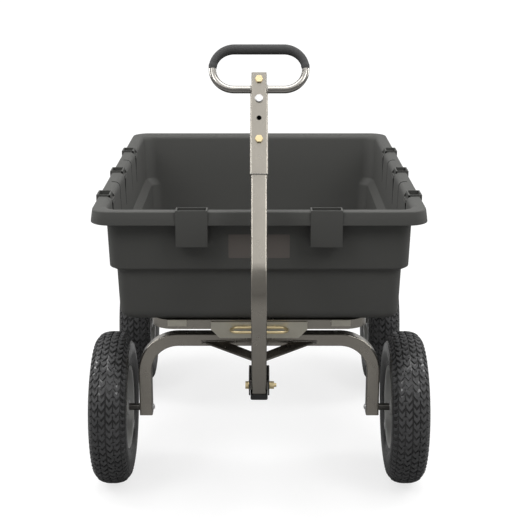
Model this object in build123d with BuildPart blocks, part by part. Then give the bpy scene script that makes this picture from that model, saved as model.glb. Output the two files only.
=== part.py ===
from build123d import *
import math
import os

# Garden dump cart: a moulded tub on a tubular steel running gear.
# Millimetres, +Z up, the pull handle at -Y, +X to the right, floor at Z = 0.

os.makedirs("parts", exist_ok=True)

# ---- driving dimensions -------------------------------------------------
# Running gear
WHEELBASE = 728.0
FRONT_AXLE_Y = -310.8
REAR_AXLE_Y = FRONT_AXLE_Y + WHEELBASE
HALF_TRACK = 397.0
TYRE_RADIUS = 207.5
TYRE_HALF_WIDTH = 52.0
AXLE_Z = TYRE_RADIUS

# Axle arches, square tube
ARCH_TUBE = 35.0
ARCH_WALL = 2.5
ARCH_LEG_X = 309.5
ARCH_TOP_Z = 425.0
ARCH_LEG_BOTTOM_Z = 189.0
ARCH_BEND_R = 92.5

# Chassis
RAIL_X = 90.0
RAIL_WIDTH = 40.0
RAIL_BOTTOM_Z = 442.0
RAIL_TOP_Z = 462.0
RAIL_WALL = 2.0
KINGPIN_R = 7.95
RUNNING_GAP = 0.05

# Tub support frame and dump hinge
FRAME_TUBE = 25.0
FRAME_WALL = 2.0
FRAME_BOTTOM_Z = 464.0
FRAME_HALF_X = 284.0
FRAME_FRONT_Y = FRONT_AXLE_Y - 88.0
FRAME_REAR_Y = FRONT_AXLE_Y + 880.0
HINGE_Y = FRONT_AXLE_Y + 757.0
HINGE_Z = 452.0
HINGE_PIN_R = 6.0

# Tub, named by its rim
TUB_HALF_X = 420.0
TUB_FRONT_Y = FRONT_AXLE_Y - 148.0
TUB_LENGTH = 1107.8
TUB_FLOOR_Z = FRAME_BOTTOM_Z + FRAME_TUBE
TUB_RIM_Z = 795.0
TUB_LIP_Z = 757.0
TUB_WALL = 4.5
TUB_MID_Y = TUB_FRONT_Y + TUB_LENGTH / 2.0
RIM_FLARE = 7.0
POCKET_PROUD = 8.0

# Handle, in the plane X = 0
PIVOT_Y = FRONT_AXLE_Y - 204.0
PIVOT_Z = 354.0
HANDLE_TUBE = 38.0
HANDLE_WALL = 2.0
LOWER_LEAN = 28.0
UPPER_LEAN = 32.0
LOWER_LENGTH = 310.0
HANDLE_BEND_R = 150.0
SLEEVE_TUBE = 44.0
SLEEVE_FROM = 312.0
SLEEVE_TO = 522.0
STUB_FROM = 432.0
STUB_TO = 580.0
PIN_HOLE_R = 6.25


def save(piece, name):
    """Label a finished piece and write its STEP file."""
    piece.label = name
    export_step(piece, f"parts/{name}.step")


def mirror_pair(value):
    """The right and left copy of an X position."""
    return (value, -value)


def dome_middle(radius, height):
    """Radius and height of a point half way up a spherical dome."""
    sphere = (radius**2 + height**2) / (2 * height)
    return radius / 2, math.sqrt(sphere**2 - radius**2 / 4) - sphere + height


def hex_across(flats):
    """Corner radius of a hexagon of this size across its flats."""
    return flats / math.sqrt(3.0)


# ---- wheels -------------------------------------------------------------
HUB_HALF = 40.0
HUB_R = 24.0
BEARING_R = 17.5
BEARING_WIDTH = 11.0
WHEEL_BOLT_R = 7.94
DISC_A = -9.0
DISC_THICK = 3.0
TUBE_CENTRE_R = 152.0
TREAD_HALF = 37.0
SHOULDER_R = 203.5


def wheel_plane(centre, side):
    """Sketch plane through a wheel's axis: x runs outwards along the axle, y is the radius."""
    return Plane(origin=centre, x_dir=(side, 0, 0), z_dir=(0, -side, 0))


def build_wheel(name, centre, side):
    """Tyre, inner tube with its valve, welded rim and the two bearings of one wheel."""
    plane = wheel_plane(centre, side)
    axle = Axis(centre, (side, 0, 0))

    with BuildPart() as tyre:
        with BuildSketch(plane):
            with BuildLine():
                ThreePointArc((-TREAD_HALF, SHOULDER_R), (0, TYRE_RADIUS), (TREAD_HALF, SHOULDER_R))
                ThreePointArc((-32, 195), (0, 198.5), (32, 195))
                for end in (-1, 1):
                    TangentArc((end * TYRE_HALF_WIDTH, 160), (end * TREAD_HALF, SHOULDER_R), tangent=(0, 1))
                    TangentArc((end * TYRE_HALF_WIDTH, 160), (end * 36.5, 114), tangent=(0, -1))
                    Polyline((end * 36.5, 114), (end * 35.5, 105), (end * 29, 105))
                    TangentArc((end * 45.5, 160), (end * 29, 105), tangent=(0, -1))
                    TangentArc((end * 45.5, 160), (end * 32, 195), tangent=(0, 1))
            make_face()
        revolve(axis=axle)
    save(tyre.part, f"tyre_{name}")

    with BuildPart() as inner_tube:
        with BuildSketch(plane):
            with Locations((0, TUBE_CENTRE_R)):
                Circle(40)
        revolve(axis=axle)
        with BuildSketch(Plane(centre).offset(70)):
            Circle(3.5)
        extrude(amount=TUBE_CENTRE_R - 40 + 4 - 70)
        with BuildSketch(plane):
            with Locations((0, TUBE_CENTRE_R)):
                Circle(37.5)
        revolve(axis=axle, mode=Mode.SUBTRACT)
    save(inner_tube.part, f"inner_tube_{name}")

    with BuildPart() as rim:
        with BuildSketch(plane):
            with BuildLine():
                Polyline(
                    (39.5, 113), (38, 104.5), (22, 102), (15, 93), (-15, 93), (-22, 102),
                    (-38, 104.5), (-39.5, 113), (-42, 113), (-40.5, 102.3), (-23, 99.8), (-16, 90.8),
                    (16, 90.8), (23, 99.8), (40.5, 102.3), (42, 113), (39.5, 113),
                )
            make_face()
            with Locations((DISC_A + DISC_THICK / 2, (91.5 + HUB_R) / 2)):
                Rectangle(DISC_THICK, 91.5 - HUB_R + 1)
            with Locations((0, (HUB_R + BEARING_R - 3) / 2)):
                Rectangle(2 * HUB_HALF, HUB_R - BEARING_R + 3)
        revolve(axis=axle)
        for end in (-1, 1):
            with BuildSketch(plane):
                with Locations((end * (HUB_HALF - BEARING_WIDTH / 2), BEARING_R / 2)):
                    Rectangle(BEARING_WIDTH, BEARING_R)
            revolve(axis=axle, mode=Mode.SUBTRACT)
        with BuildSketch(Plane(centre).offset(80)):
            Circle(4.2)
        extrude(amount=20, mode=Mode.SUBTRACT)
    save(rim.part, f"rim_{name}")

    with BuildPart() as bearings:
        for end in (-1, 1):
            with BuildSketch(plane):
                middle = (BEARING_R + WHEEL_BOLT_R + RUNNING_GAP) / 2
                with Locations((end * (HUB_HALF - BEARING_WIDTH / 2), middle)):
                    Rectangle(BEARING_WIDTH, BEARING_R - WHEEL_BOLT_R - RUNNING_GAP)
            revolve(axis=axle)
    save(bearings.part, f"bearings_{name}")


for axle_name, axle_y in (("front", FRONT_AXLE_Y), ("rear", REAR_AXLE_Y)):
    for side_name, side in (("left", -1), ("right", 1)):
        build_wheel(f"{axle_name}_{side_name}", (side * HALF_TRACK, axle_y, AXLE_Z), side)


# ---- axle arches and wheel bolts ----------------------------------------
LEG_OUTER_X = ARCH_LEG_X + ARCH_TUBE / 2
LEG_INNER_X = ARCH_LEG_X - ARCH_TUBE / 2
HUB_INNER_X = HALF_TRACK - HUB_HALF
HUB_OUTER_X = HALF_TRACK + HUB_HALF
DOME_R = 9.5
DOME_HEIGHT = 5.7
WHEEL_NUT_FLATS = 24.0
WHEEL_NUT_FROM = HUB_OUTER_X + 0.5
WHEEL_NUT_TO = HUB_OUTER_X + 11.0


def build_arch(name, axle_y, kingpin_hole):
    """One axle arch: a square tube bent down into two legs, drilled for its wheel bolts."""
    arch_plane = Plane(origin=(0, axle_y, 0), x_dir=(1, 0, 0), z_dir=(0, -1, 0))
    top = ARCH_TOP_Z - ARCH_TUBE / 2
    with BuildPart() as arch:
        with BuildLine(arch_plane) as path:
            FilletPolyline(
                (-ARCH_LEG_X, ARCH_LEG_BOTTOM_Z), (-ARCH_LEG_X, top),
                (ARCH_LEG_X, top), (ARCH_LEG_X, ARCH_LEG_BOTTOM_Z),
                radius=ARCH_BEND_R,
            )
        with BuildSketch(Plane(origin=path.wire() @ 0, z_dir=path.wire() % 0, x_dir=(1, 0, 0))):
            RectangleRounded(ARCH_TUBE, ARCH_TUBE, 4)
            RectangleRounded(ARCH_TUBE - 2 * ARCH_WALL, ARCH_TUBE - 2 * ARCH_WALL, 1.5, mode=Mode.SUBTRACT)
        sweep(path=path.wire())
        with BuildSketch(Plane(origin=(0, axle_y, AXLE_Z), x_dir=(0, 1, 0), z_dir=(1, 0, 0))):
            Circle(WHEEL_BOLT_R + RUNNING_GAP)
        extrude(amount=LEG_OUTER_X + 5, both=True, mode=Mode.SUBTRACT)
        if kingpin_hole:
            with BuildSketch(Plane((0, axle_y, ARCH_TOP_Z - ARCH_TUBE / 2))):
                Circle(KINGPIN_R + RUNNING_GAP)
            extrude(amount=ARCH_TUBE, both=True, mode=Mode.SUBTRACT)
    save(arch.part, name)


def build_wheel_bolts(axle_name, axle_y):
    """The domed bolts that carry the wheels, with their spacers and outer lock nuts."""
    with BuildPart() as bolts:
        for side in (-1, 1):
            with BuildSketch(wheel_plane((0, axle_y, AXLE_Z), side)):
                with BuildLine():
                    Line((LEG_INNER_X - DOME_HEIGHT, 0), (WHEEL_NUT_TO, 0))
                    Line((WHEEL_NUT_TO, 0), (WHEEL_NUT_TO, WHEEL_BOLT_R))
                    Line((WHEEL_NUT_TO, WHEEL_BOLT_R), (LEG_INNER_X, WHEEL_BOLT_R))
                    Line((LEG_INNER_X, WHEEL_BOLT_R), (LEG_INNER_X, DOME_R))
                    middle_r, middle_h = dome_middle(DOME_R, DOME_HEIGHT)
                    ThreePointArc(
                        (LEG_INNER_X, DOME_R),
                        (LEG_INNER_X - middle_h, middle_r),
                        (LEG_INNER_X - DOME_HEIGHT, 0),
                    )
                make_face()
            revolve(axis=Axis((0, axle_y, AXLE_Z), (side, 0, 0)))
    save(bolts.part, f"{axle_name}_wheel_bolts")

    with BuildPart() as spacers:
        for side in (-1, 1):
            with BuildSketch(Plane(origin=(side * LEG_OUTER_X, axle_y, AXLE_Z), z_dir=(side, 0, 0))):
                Circle(9.5)
                Circle(WHEEL_BOLT_R + RUNNING_GAP, mode=Mode.SUBTRACT)
            extrude(amount=HUB_INNER_X - LEG_OUTER_X - 0.5)
    save(spacers.part, f"{axle_name}_wheel_spacers")

    with BuildPart() as nuts:
        for side in (-1, 1):
            with BuildSketch(Plane(origin=(side * WHEEL_NUT_FROM, axle_y, AXLE_Z), z_dir=(side, 0, 0))):
                Circle(16)
                Circle(WHEEL_BOLT_R + RUNNING_GAP, mode=Mode.SUBTRACT)
            extrude(amount=2)
            with BuildSketch(Plane(origin=(side * (WHEEL_NUT_FROM + 2), axle_y, AXLE_Z), z_dir=(side, 0, 0))):
                RegularPolygon(hex_across(WHEEL_NUT_FLATS), 6)
                Circle(WHEEL_BOLT_R + RUNNING_GAP, mode=Mode.SUBTRACT)
            extrude(amount=WHEEL_NUT_TO - WHEEL_NUT_FROM - 3.5)
    save(nuts.part, f"{axle_name}_wheel_nuts")


build_arch("front_axle_arch", FRONT_AXLE_Y, kingpin_hole=True)
build_arch("rear_axle_arch", REAR_AXLE_Y, kingpin_hole=False)
build_wheel_bolts("front", FRONT_AXLE_Y)
build_wheel_bolts("rear", REAR_AXLE_Y)


# ---- steering: bush, tongue, braces, clevis ------------------------------
TONGUE_FROM_Z = 405.0
WEB_FRONT_Y = PIVOT_Y + 42.0
WEB_THICK = 3.5
ARCH_FRONT_Y = FRONT_AXLE_Y - ARCH_TUBE / 2
TONGUE_SLOPE = (TONGUE_FROM_Z - PIVOT_Z) / (ARCH_FRONT_Y - PIVOT_Y)
TONGUE_ANGLE = math.degrees(math.atan(TONGUE_SLOPE))
CLEVIS_HALF_GAP = 22.5
CLEVIS_PLATE = 3.5
PIVOT_BOLT_R = 5.0

with BuildPart() as kingpin_bush:
    with BuildSketch(Plane((0, FRONT_AXLE_Y, ARCH_TOP_Z - ARCH_TUBE + ARCH_WALL))):
        Circle(13)
        Circle(KINGPIN_R + RUNNING_GAP, mode=Mode.SUBTRACT)
    extrude(amount=ARCH_TUBE - 2 * ARCH_WALL)
save(kingpin_bush.part, "kingpin_bush")

with BuildPart() as steering_tongue:
    tongue_dir = (0, math.cos(math.radians(TONGUE_ANGLE)), math.sin(math.radians(TONGUE_ANGLE)))
    with BuildSketch(Plane(origin=(0, PIVOT_Y, PIVOT_Z), x_dir=(1, 0, 0), z_dir=tongue_dir)):
        RectangleRounded(ARCH_TUBE, ARCH_TUBE, 4)
        RectangleRounded(ARCH_TUBE - 2 * ARCH_WALL, ARCH_TUBE - 2 * ARCH_WALL, 1.5, mode=Mode.SUBTRACT)
    extrude(amount=260)
    split(bisect_by=Plane(origin=(0, ARCH_FRONT_Y, 0), z_dir=(0, -1, 0)), keep=Keep.TOP)
    split(bisect_by=Plane(origin=(0, WEB_FRONT_Y + WEB_THICK, 0), z_dir=(0, 1, 0)), keep=Keep.TOP)
save(steering_tongue.part, "steering_tongue")

# The braces are flat bars in a plane that slopes with the tongue.
BRACE_OUTER = 152.0
BRACE_INNER = 92.0
BRACE_THICK = 6.0
with BuildPart() as tongue_braces:
    slope_plane = Plane(
        origin=(0, ARCH_FRONT_Y, TONGUE_FROM_Z), x_dir=(1, 0, 0),
        z_dir=(0, -math.sin(math.radians(TONGUE_ANGLE)), math.cos(math.radians(TONGUE_ANGLE))),
    )
    stretch = 1 / math.cos(math.radians(TONGUE_ANGLE))
    for side in (-1, 1):
        with BuildSketch(slope_plane):
            Polygon(
                (side * BRACE_OUTER, 0), (side * BRACE_INNER, 0),
                (side * ARCH_TUBE / 2, -47.5 * stretch), (side * ARCH_TUBE / 2, -80.5 * stretch),
                align=None,
            )
        extrude(amount=-BRACE_THICK)
    split(bisect_by=Plane(origin=(0, ARCH_FRONT_Y, 0), z_dir=(0, -1, 0)), keep=Keep.TOP)
save(tongue_braces.part, "tongue_braces")


def handle_back_y(height):
    """Y of the handle's rear face, at a height on its lower run."""
    lean = math.radians(LOWER_LEAN)
    return PIVOT_Y - (height - PIVOT_Z) * math.tan(lean) + HANDLE_TUBE / 2 / math.cos(lean)


with BuildPart() as clevis_bracket:
    with BuildSketch(Plane.YZ):
        with Locations(((PIVOT_Y - 24 + WEB_FRONT_Y + WEB_THICK) / 2, 363)):
            RectangleRounded(WEB_FRONT_Y + WEB_THICK - PIVOT_Y + 24, 60, 8)
    extrude(amount=CLEVIS_HALF_GAP + CLEVIS_PLATE, both=True)
    with BuildSketch(Plane.YZ):
        with Locations((WEB_FRONT_Y - 50, 363)):
            Rectangle(100, 80)
    extrude(amount=CLEVIS_HALF_GAP, both=True, mode=Mode.SUBTRACT)
    with BuildSketch(Plane.YZ):
        Polygon(
            (WEB_FRONT_Y, 386), (WEB_FRONT_Y + WEB_THICK, 384), (WEB_FRONT_Y + WEB_THICK, 397),
            (handle_back_y(429) + 0.4, 429), (handle_back_y(420) + 0.4, 420),
            align=None,
        )
    extrude(amount=15, both=True)
    with BuildSketch(Plane(origin=(0, PIVOT_Y, PIVOT_Z), x_dir=(0, 1, 0), z_dir=(1, 0, 0))):
        Circle(PIVOT_BOLT_R + RUNNING_GAP)
    extrude(amount=40, both=True, mode=Mode.SUBTRACT)
save(clevis_bracket.part, "clevis_bracket")

CLEVIS_OUTER = CLEVIS_HALF_GAP + CLEVIS_PLATE
with BuildPart() as handle_pivot_bolt:
    with BuildSketch(Plane(origin=(-CLEVIS_OUTER - 9, PIVOT_Y, PIVOT_Z), x_dir=(0, 1, 0), z_dir=(1, 0, 0))):
        RegularPolygon(hex_across(17), 6)
    extrude(amount=7)
    with BuildSketch(Plane(origin=(-CLEVIS_OUTER - 2, PIVOT_Y, PIVOT_Z), x_dir=(0, 1, 0), z_dir=(1, 0, 0))):
        Circle(10)
    extrude(amount=2)
    with BuildSketch(Plane(origin=(-CLEVIS_OUTER, PIVOT_Y, PIVOT_Z), x_dir=(0, 1, 0), z_dir=(1, 0, 0))):
        Circle(PIVOT_BOLT_R)
    extrude(amount=2 * CLEVIS_OUTER + 18)
save(handle_pivot_bolt.part, "handle_pivot_bolt")

with BuildPart() as handle_pivot_nut:
    with BuildSketch(Plane(origin=(CLEVIS_OUTER, PIVOT_Y, PIVOT_Z), x_dir=(0, 1, 0), z_dir=(1, 0, 0))):
        Circle(10)
        Circle(PIVOT_BOLT_R + RUNNING_GAP, mode=Mode.SUBTRACT)
    extrude(amount=2)
    with BuildSketch(Plane(origin=(CLEVIS_OUTER + 2, PIVOT_Y, PIVOT_Z), x_dir=(0, 1, 0), z_dir=(1, 0, 0))):
        RegularPolygon(hex_across(17), 6)
        Circle(PIVOT_BOLT_R + RUNNING_GAP, mode=Mode.SUBTRACT)
    extrude(amount=10)
save(handle_pivot_nut.part, "handle_pivot_nut")

with BuildPart() as pivot_washers:
    for side in (-1, 1):
        start = (side * (HANDLE_TUBE / 2 + 0.2), PIVOT_Y, PIVOT_Z)
        with BuildSketch(Plane(origin=start, z_dir=(side, 0, 0))):
            Circle(12)
            Circle(PIVOT_BOLT_R + RUNNING_GAP, mode=Mode.SUBTRACT)
        extrude(amount=CLEVIS_HALF_GAP - HANDLE_TUBE / 2 - 0.4)
save(pivot_washers.part, "pivot_washers")


# ---- handle ---------------------------------------------------------------
LOW = math.radians(LOWER_LEAN)
UP = math.radians(UPPER_LEAN)
APEX = (0, PIVOT_Y - LOWER_LENGTH * math.sin(LOW), PIVOT_Z + LOWER_LENGTH * math.cos(LOW))
UP_DIR = (0, math.sin(UP), math.cos(UP))
FRONT_DIR = (0, -math.cos(UP), math.sin(UP))
HANDLE_END = 30.0
HANDLE_TUBE_TO = 428.0
BOLT_STATIONS = (401.0, 561.0)
OPEN_HOLE_STATION = 457.0
HITCH_PIN_STATION = 508.0
HANDLE_BOLT_R = 5.0
HITCH_PIN_R = 6.2


def up_point(station, forward=0.0):
    """A point on the handle's upper run, this far from its apex and this far in front of its axis."""
    return tuple(APEX[i] + UP_DIR[i] * station + FRONT_DIR[i] * forward for i in range(3))


def up_section(station):
    """Sketch plane square across the handle's upper run."""
    return Plane(origin=up_point(station), x_dir=(1, 0, 0), z_dir=UP_DIR)


def face_plane(station, forward=0.0):
    """Sketch plane parallel with the upper run's front face."""
    return Plane(origin=up_point(station, forward), x_dir=(1, 0, 0), z_dir=FRONT_DIR)


with BuildPart() as handle_tube:
    low_end = (PIVOT_Y + HANDLE_END * math.sin(LOW), PIVOT_Z - HANDLE_END * math.cos(LOW))
    top_end = up_point(HANDLE_TUBE_TO)
    with BuildLine(Plane.YZ) as handle_path:
        FilletPolyline(low_end, APEX[1:], top_end[1:], radius=HANDLE_BEND_R)
    start_plane = Plane(
        origin=handle_path.wire() @ 0, x_dir=(1, 0, 0), z_dir=handle_path.wire() % 0
    )
    with BuildSketch(start_plane):
        RectangleRounded(HANDLE_TUBE, HANDLE_TUBE, 4)
        RectangleRounded(HANDLE_TUBE - 2 * HANDLE_WALL, HANDLE_TUBE - 2 * HANDLE_WALL, 2, mode=Mode.SUBTRACT)
    sweep(path=handle_path.wire())
    with BuildSketch(Plane(origin=(0, PIVOT_Y, PIVOT_Z), x_dir=(0, 1, 0), z_dir=(1, 0, 0))):
        Circle(PIVOT_BOLT_R + RUNNING_GAP)
    extrude(amount=HANDLE_TUBE, both=True, mode=Mode.SUBTRACT)
    with BuildSketch(face_plane(BOLT_STATIONS[0])):
        Circle(HANDLE_BOLT_R + RUNNING_GAP)
    extrude(amount=HANDLE_TUBE, both=True, mode=Mode.SUBTRACT)
save(handle_tube.part, "handle_tube")

with BuildPart() as handle_end_cap:
    cap_plane = Plane(
        origin=(0, PIVOT_Y + 33 * math.sin(LOW), PIVOT_Z - 33 * math.cos(LOW)),
        x_dir=(1, 0, 0), z_dir=(0, -math.sin(LOW), math.cos(LOW)),
    )
    with BuildSketch(cap_plane):
        RectangleRounded(44, 44, 5)
    extrude(amount=3)
    with BuildSketch(cap_plane.offset(3)):
        RectangleRounded(44, 44, 5)
        RectangleRounded(HANDLE_TUBE + 0.2, HANDLE_TUBE + 0.2, 3.8, mode=Mode.SUBTRACT)
    extrude(amount=15)
save(handle_end_cap.part, "handle_end_cap")

with BuildPart() as handle_sleeve:
    with BuildSketch(up_section(SLEEVE_FROM)):
        RectangleRounded(SLEEVE_TUBE, SLEEVE_TUBE, 4.5)
        RectangleRounded(SLEEVE_TUBE - 5.6, SLEEVE_TUBE - 5.6, 4, mode=Mode.SUBTRACT)
    extrude(amount=SLEEVE_TO - SLEEVE_FROM)
    with BuildSketch(face_plane(BOLT_STATIONS[0])):
        Circle(HANDLE_BOLT_R + RUNNING_GAP)
    extrude(amount=SLEEVE_TUBE, both=True, mode=Mode.SUBTRACT)
    for station in (OPEN_HOLE_STATION, HITCH_PIN_STATION):
        with BuildSketch(face_plane(station)):
            Circle(PIN_HOLE_R)
        extrude(amount=SLEEVE_TUBE, both=True, mode=Mode.SUBTRACT)
save(handle_sleeve.part, "handle_sleeve")

with BuildPart() as grip_stub:
    with BuildSketch(up_section(STUB_FROM)):
        RectangleRounded(HANDLE_TUBE, HANDLE_TUBE, 4)
        RectangleRounded(HANDLE_TUBE - 2 * HANDLE_WALL, HANDLE_TUBE - 2 * HANDLE_WALL, 2, mode=Mode.SUBTRACT)
    extrude(amount=STUB_TO - STUB_FROM)
    with BuildSketch(face_plane(BOLT_STATIONS[1])):
        Circle(HANDLE_BOLT_R + RUNNING_GAP)
    extrude(amount=SLEEVE_TUBE, both=True, mode=Mode.SUBTRACT)
    for station in (OPEN_HOLE_STATION, HITCH_PIN_STATION):
        with BuildSketch(face_plane(station)):
            Circle(PIN_HOLE_R)
        extrude(amount=SLEEVE_TUBE, both=True, mode=Mode.SUBTRACT)
save(grip_stub.part, "grip_stub")

LOOP_LOW = 541.5
LOOP_HIGH = 651.0
LOOP_HALF_STRAIGHT = 62.0
LOOP_TUBE_R = 9.5
GRIP_R = 13.0
LOOP_R = (LOOP_HIGH - LOOP_LOW) / 2
LOOP_MID = (LOOP_HIGH + LOOP_LOW) / 2
LOOP_SIDE = LOOP_HALF_STRAIGHT + LOOP_R
DIAGONAL = math.sqrt(0.5)

with BuildPart() as grip_loop:
    with BuildLine(face_plane(0)) as loop_path:
        Line((-HANDLE_TUBE / 2, LOOP_LOW), (-LOOP_HALF_STRAIGHT, LOOP_LOW))
        ThreePointArc(
            (-LOOP_HALF_STRAIGHT, LOOP_LOW), (-LOOP_SIDE, LOOP_MID), (-LOOP_HALF_STRAIGHT, LOOP_HIGH)
        )
        Line((-LOOP_HALF_STRAIGHT, LOOP_HIGH), (LOOP_HALF_STRAIGHT, LOOP_HIGH))
        ThreePointArc(
            (LOOP_HALF_STRAIGHT, LOOP_HIGH), (LOOP_SIDE, LOOP_MID), (LOOP_HALF_STRAIGHT, LOOP_LOW)
        )
        Line((LOOP_HALF_STRAIGHT, LOOP_LOW), (HANDLE_TUBE / 2, LOOP_LOW))
    with BuildSketch(Plane(origin=loop_path.wire() @ 0, z_dir=loop_path.wire() % 0)):
        Circle(LOOP_TUBE_R)
        Circle(LOOP_TUBE_R - 1.5, mode=Mode.SUBTRACT)
    sweep(path=loop_path.wire())
save(grip_loop.part, "grip_loop")

with BuildPart() as grip_cover:
    corner_x = LOOP_HALF_STRAIGHT + LOOP_R * DIAGONAL
    corner_s = LOOP_MID + LOOP_R * DIAGONAL
    with BuildLine(face_plane(0)) as cover_path:
        ThreePointArc((-LOOP_SIDE, LOOP_MID), (-corner_x, corner_s), (-LOOP_HALF_STRAIGHT, LOOP_HIGH))
        Line((-LOOP_HALF_STRAIGHT, LOOP_HIGH), (LOOP_HALF_STRAIGHT, LOOP_HIGH))
        ThreePointArc((LOOP_HALF_STRAIGHT, LOOP_HIGH), (corner_x, corner_s), (LOOP_SIDE, LOOP_MID))
    with BuildSketch(Plane(origin=cover_path.wire() @ 0, z_dir=cover_path.wire() % 0)):
        Circle(GRIP_R)
        Circle(LOOP_TUBE_R + 0.1, mode=Mode.SUBTRACT)
    sweep(path=cover_path.wire())
save(grip_cover.part, "grip_cover")

BOLT_HALF_DEPTHS = (SLEEVE_TUBE / 2, HANDLE_TUBE / 2)
with BuildPart() as handle_bolts:
    for station, half_depth in zip(BOLT_STATIONS, BOLT_HALF_DEPTHS):
        with BuildSketch(face_plane(station, half_depth)):
            RegularPolygon(hex_across(17), 6)
        extrude(amount=6)
        with BuildSketch(face_plane(station, half_depth)):
            Circle(HANDLE_BOLT_R)
        extrude(amount=-(2 * half_depth + 13))
save(handle_bolts.part, "handle_bolts")

with BuildPart() as handle_nuts:
    for station, half_depth in zip(BOLT_STATIONS, BOLT_HALF_DEPTHS):
        with BuildSketch(face_plane(station, -half_depth)):
            RegularPolygon(hex_across(17), 6)
            Circle(HANDLE_BOLT_R + RUNNING_GAP, mode=Mode.SUBTRACT)
        extrude(amount=-10)
save(handle_nuts.part, "handle_nuts")

with BuildPart() as hitch_pin:
    with BuildSketch(face_plane(HITCH_PIN_STATION, SLEEVE_TUBE / 2 + 0.4)):
        Circle(10)
    extrude(amount=4)
    chamfer(hitch_pin.edges().filter_by(GeomType.CIRCLE).sort_by(Axis(up_point(0), FRONT_DIR))[-1], 1.2)
    with BuildSketch(face_plane(HITCH_PIN_STATION, SLEEVE_TUBE / 2 + 0.4)):
        Circle(HITCH_PIN_R)
    extrude(amount=-(SLEEVE_TUBE + 10))
save(hitch_pin.part, "hitch_pin")


# ---- chassis ----------------------------------------------------------------
RAIL_FRONT_Y = FRAME_FRONT_Y
RAIL_REAR_Y = HINGE_Y + 15.0
PLATE_BACK_Y = FRAME_FRONT_Y - 2.0
PLATE_THICK = 4.0
PLATE_BOTTOM_Z = 441.0
PLATE_TOP_Z = 485.0
LATCH_Z = 472.0
LATCH_PIN_X = 40.0
LATCH_ROD_R = 4.0
LATCH_HOLE_R = 4.5
SPRING_Z = 452.0
SPRING_R = 5.2
SPRING_WIRE_R = 0.8
SPRING_POST_Y = FRONT_AXLE_Y - 38.0
SPRING_POST_R = 3.0

with BuildPart() as chassis_rails:
    for x in mirror_pair(RAIL_X):
        middle = (x, RAIL_FRONT_Y, (RAIL_BOTTOM_Z + RAIL_TOP_Z) / 2)
        with BuildSketch(Plane(origin=middle, x_dir=(1, 0, 0), z_dir=(0, 1, 0))):
            height = RAIL_TOP_Z - RAIL_BOTTOM_Z
            RectangleRounded(RAIL_WIDTH, height, 3)
            RectangleRounded(RAIL_WIDTH - 2 * RAIL_WALL, height - 2 * RAIL_WALL, 1, mode=Mode.SUBTRACT)
        extrude(amount=RAIL_REAR_Y - RAIL_FRONT_Y)
    with BuildSketch(Plane(origin=(0, HINGE_Y, HINGE_Z), x_dir=(0, 1, 0), z_dir=(1, 0, 0))):
        Circle(HINGE_PIN_R + RUNNING_GAP)
    extrude(amount=RAIL_X + RAIL_WIDTH, both=True, mode=Mode.SUBTRACT)
save(chassis_rails.part, "chassis_rails")

# The front plate closes the rails and guides the latch pins and the spring.
with BuildPart() as chassis_front_plate:
    with BuildSketch(Plane(origin=(0, PLATE_BACK_Y, 0), x_dir=(1, 0, 0), z_dir=(0, -1, 0))):
        Polygon(
            (-126, PLATE_TOP_Z), (126, PLATE_TOP_Z), (126, PLATE_BOTTOM_Z + 24), (103, PLATE_BOTTOM_Z),
            (-103, PLATE_BOTTOM_Z), (-126, PLATE_BOTTOM_Z + 24),
            align=None,
        )
        with Locations((LATCH_PIN_X, LATCH_Z), (-LATCH_PIN_X, LATCH_Z)):
            Circle(LATCH_HOLE_R, mode=Mode.SUBTRACT)
        with Locations((0, SPRING_Z)):
            Circle(SPRING_R + 2.5, mode=Mode.SUBTRACT)
    extrude(amount=PLATE_THICK)
    for x in mirror_pair(RAIL_X):
        with BuildSketch(Plane(origin=(x, PLATE_BACK_Y, 0), x_dir=(1, 0, 0), z_dir=(0, -1, 0))):
            with Locations((0, (RAIL_BOTTOM_Z + RAIL_TOP_Z) / 2)):
                Rectangle(RAIL_WIDTH - 6, RAIL_TOP_Z - RAIL_BOTTOM_Z - 4)
        extrude(amount=PLATE_BACK_Y - RAIL_FRONT_Y)
save(chassis_front_plate.part, "chassis_front_plate")

with BuildPart() as chassis_cross_tie:
    span = 2 * RAIL_X - RAIL_WIDTH
    height = RAIL_TOP_Z - RAIL_BOTTOM_Z
    tie_start = (-span / 2, REAR_AXLE_Y - 350, (RAIL_BOTTOM_Z + RAIL_TOP_Z) / 2)
    with BuildSketch(Plane(origin=tie_start, x_dir=(0, 1, 0), z_dir=(1, 0, 0))):
        RectangleRounded(RAIL_WIDTH, height, 3)
        RectangleRounded(RAIL_WIDTH - 2 * RAIL_WALL, height - 2 * RAIL_WALL, 1, mode=Mode.SUBTRACT)
    extrude(amount=span)
save(chassis_cross_tie.part, "chassis_cross_tie")

KINGPIN_PLATE_Z = RAIL_BOTTOM_Z - 6.0
BOSS_BOTTOM_Z = ARCH_TOP_Z + 2.0
with BuildPart() as kingpin_plate:
    with BuildSketch(Plane((0, FRONT_AXLE_Y, KINGPIN_PLATE_Z))):
        RectangleRounded(2 * RAIL_X + RAIL_WIDTH, 90, 8)
    extrude(amount=RAIL_BOTTOM_Z - KINGPIN_PLATE_Z)
    with BuildSketch(Plane((0, FRONT_AXLE_Y, BOSS_BOTTOM_Z))):
        Circle(25)
    extrude(amount=KINGPIN_PLATE_Z - BOSS_BOTTOM_Z)
    with BuildSketch(Plane((0, FRONT_AXLE_Y, BOSS_BOTTOM_Z))):
        Circle(KINGPIN_R + RUNNING_GAP)
    extrude(amount=RAIL_BOTTOM_Z - BOSS_BOTTOM_Z, mode=Mode.SUBTRACT)
    with BuildSketch(Plane((0, SPRING_POST_Y, RAIL_BOTTOM_Z))):
        Circle(SPRING_POST_R)
    extrude(amount=SPRING_Z + SPRING_R - RAIL_BOTTOM_Z)
save(kingpin_plate.part, "kingpin_plate")

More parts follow.
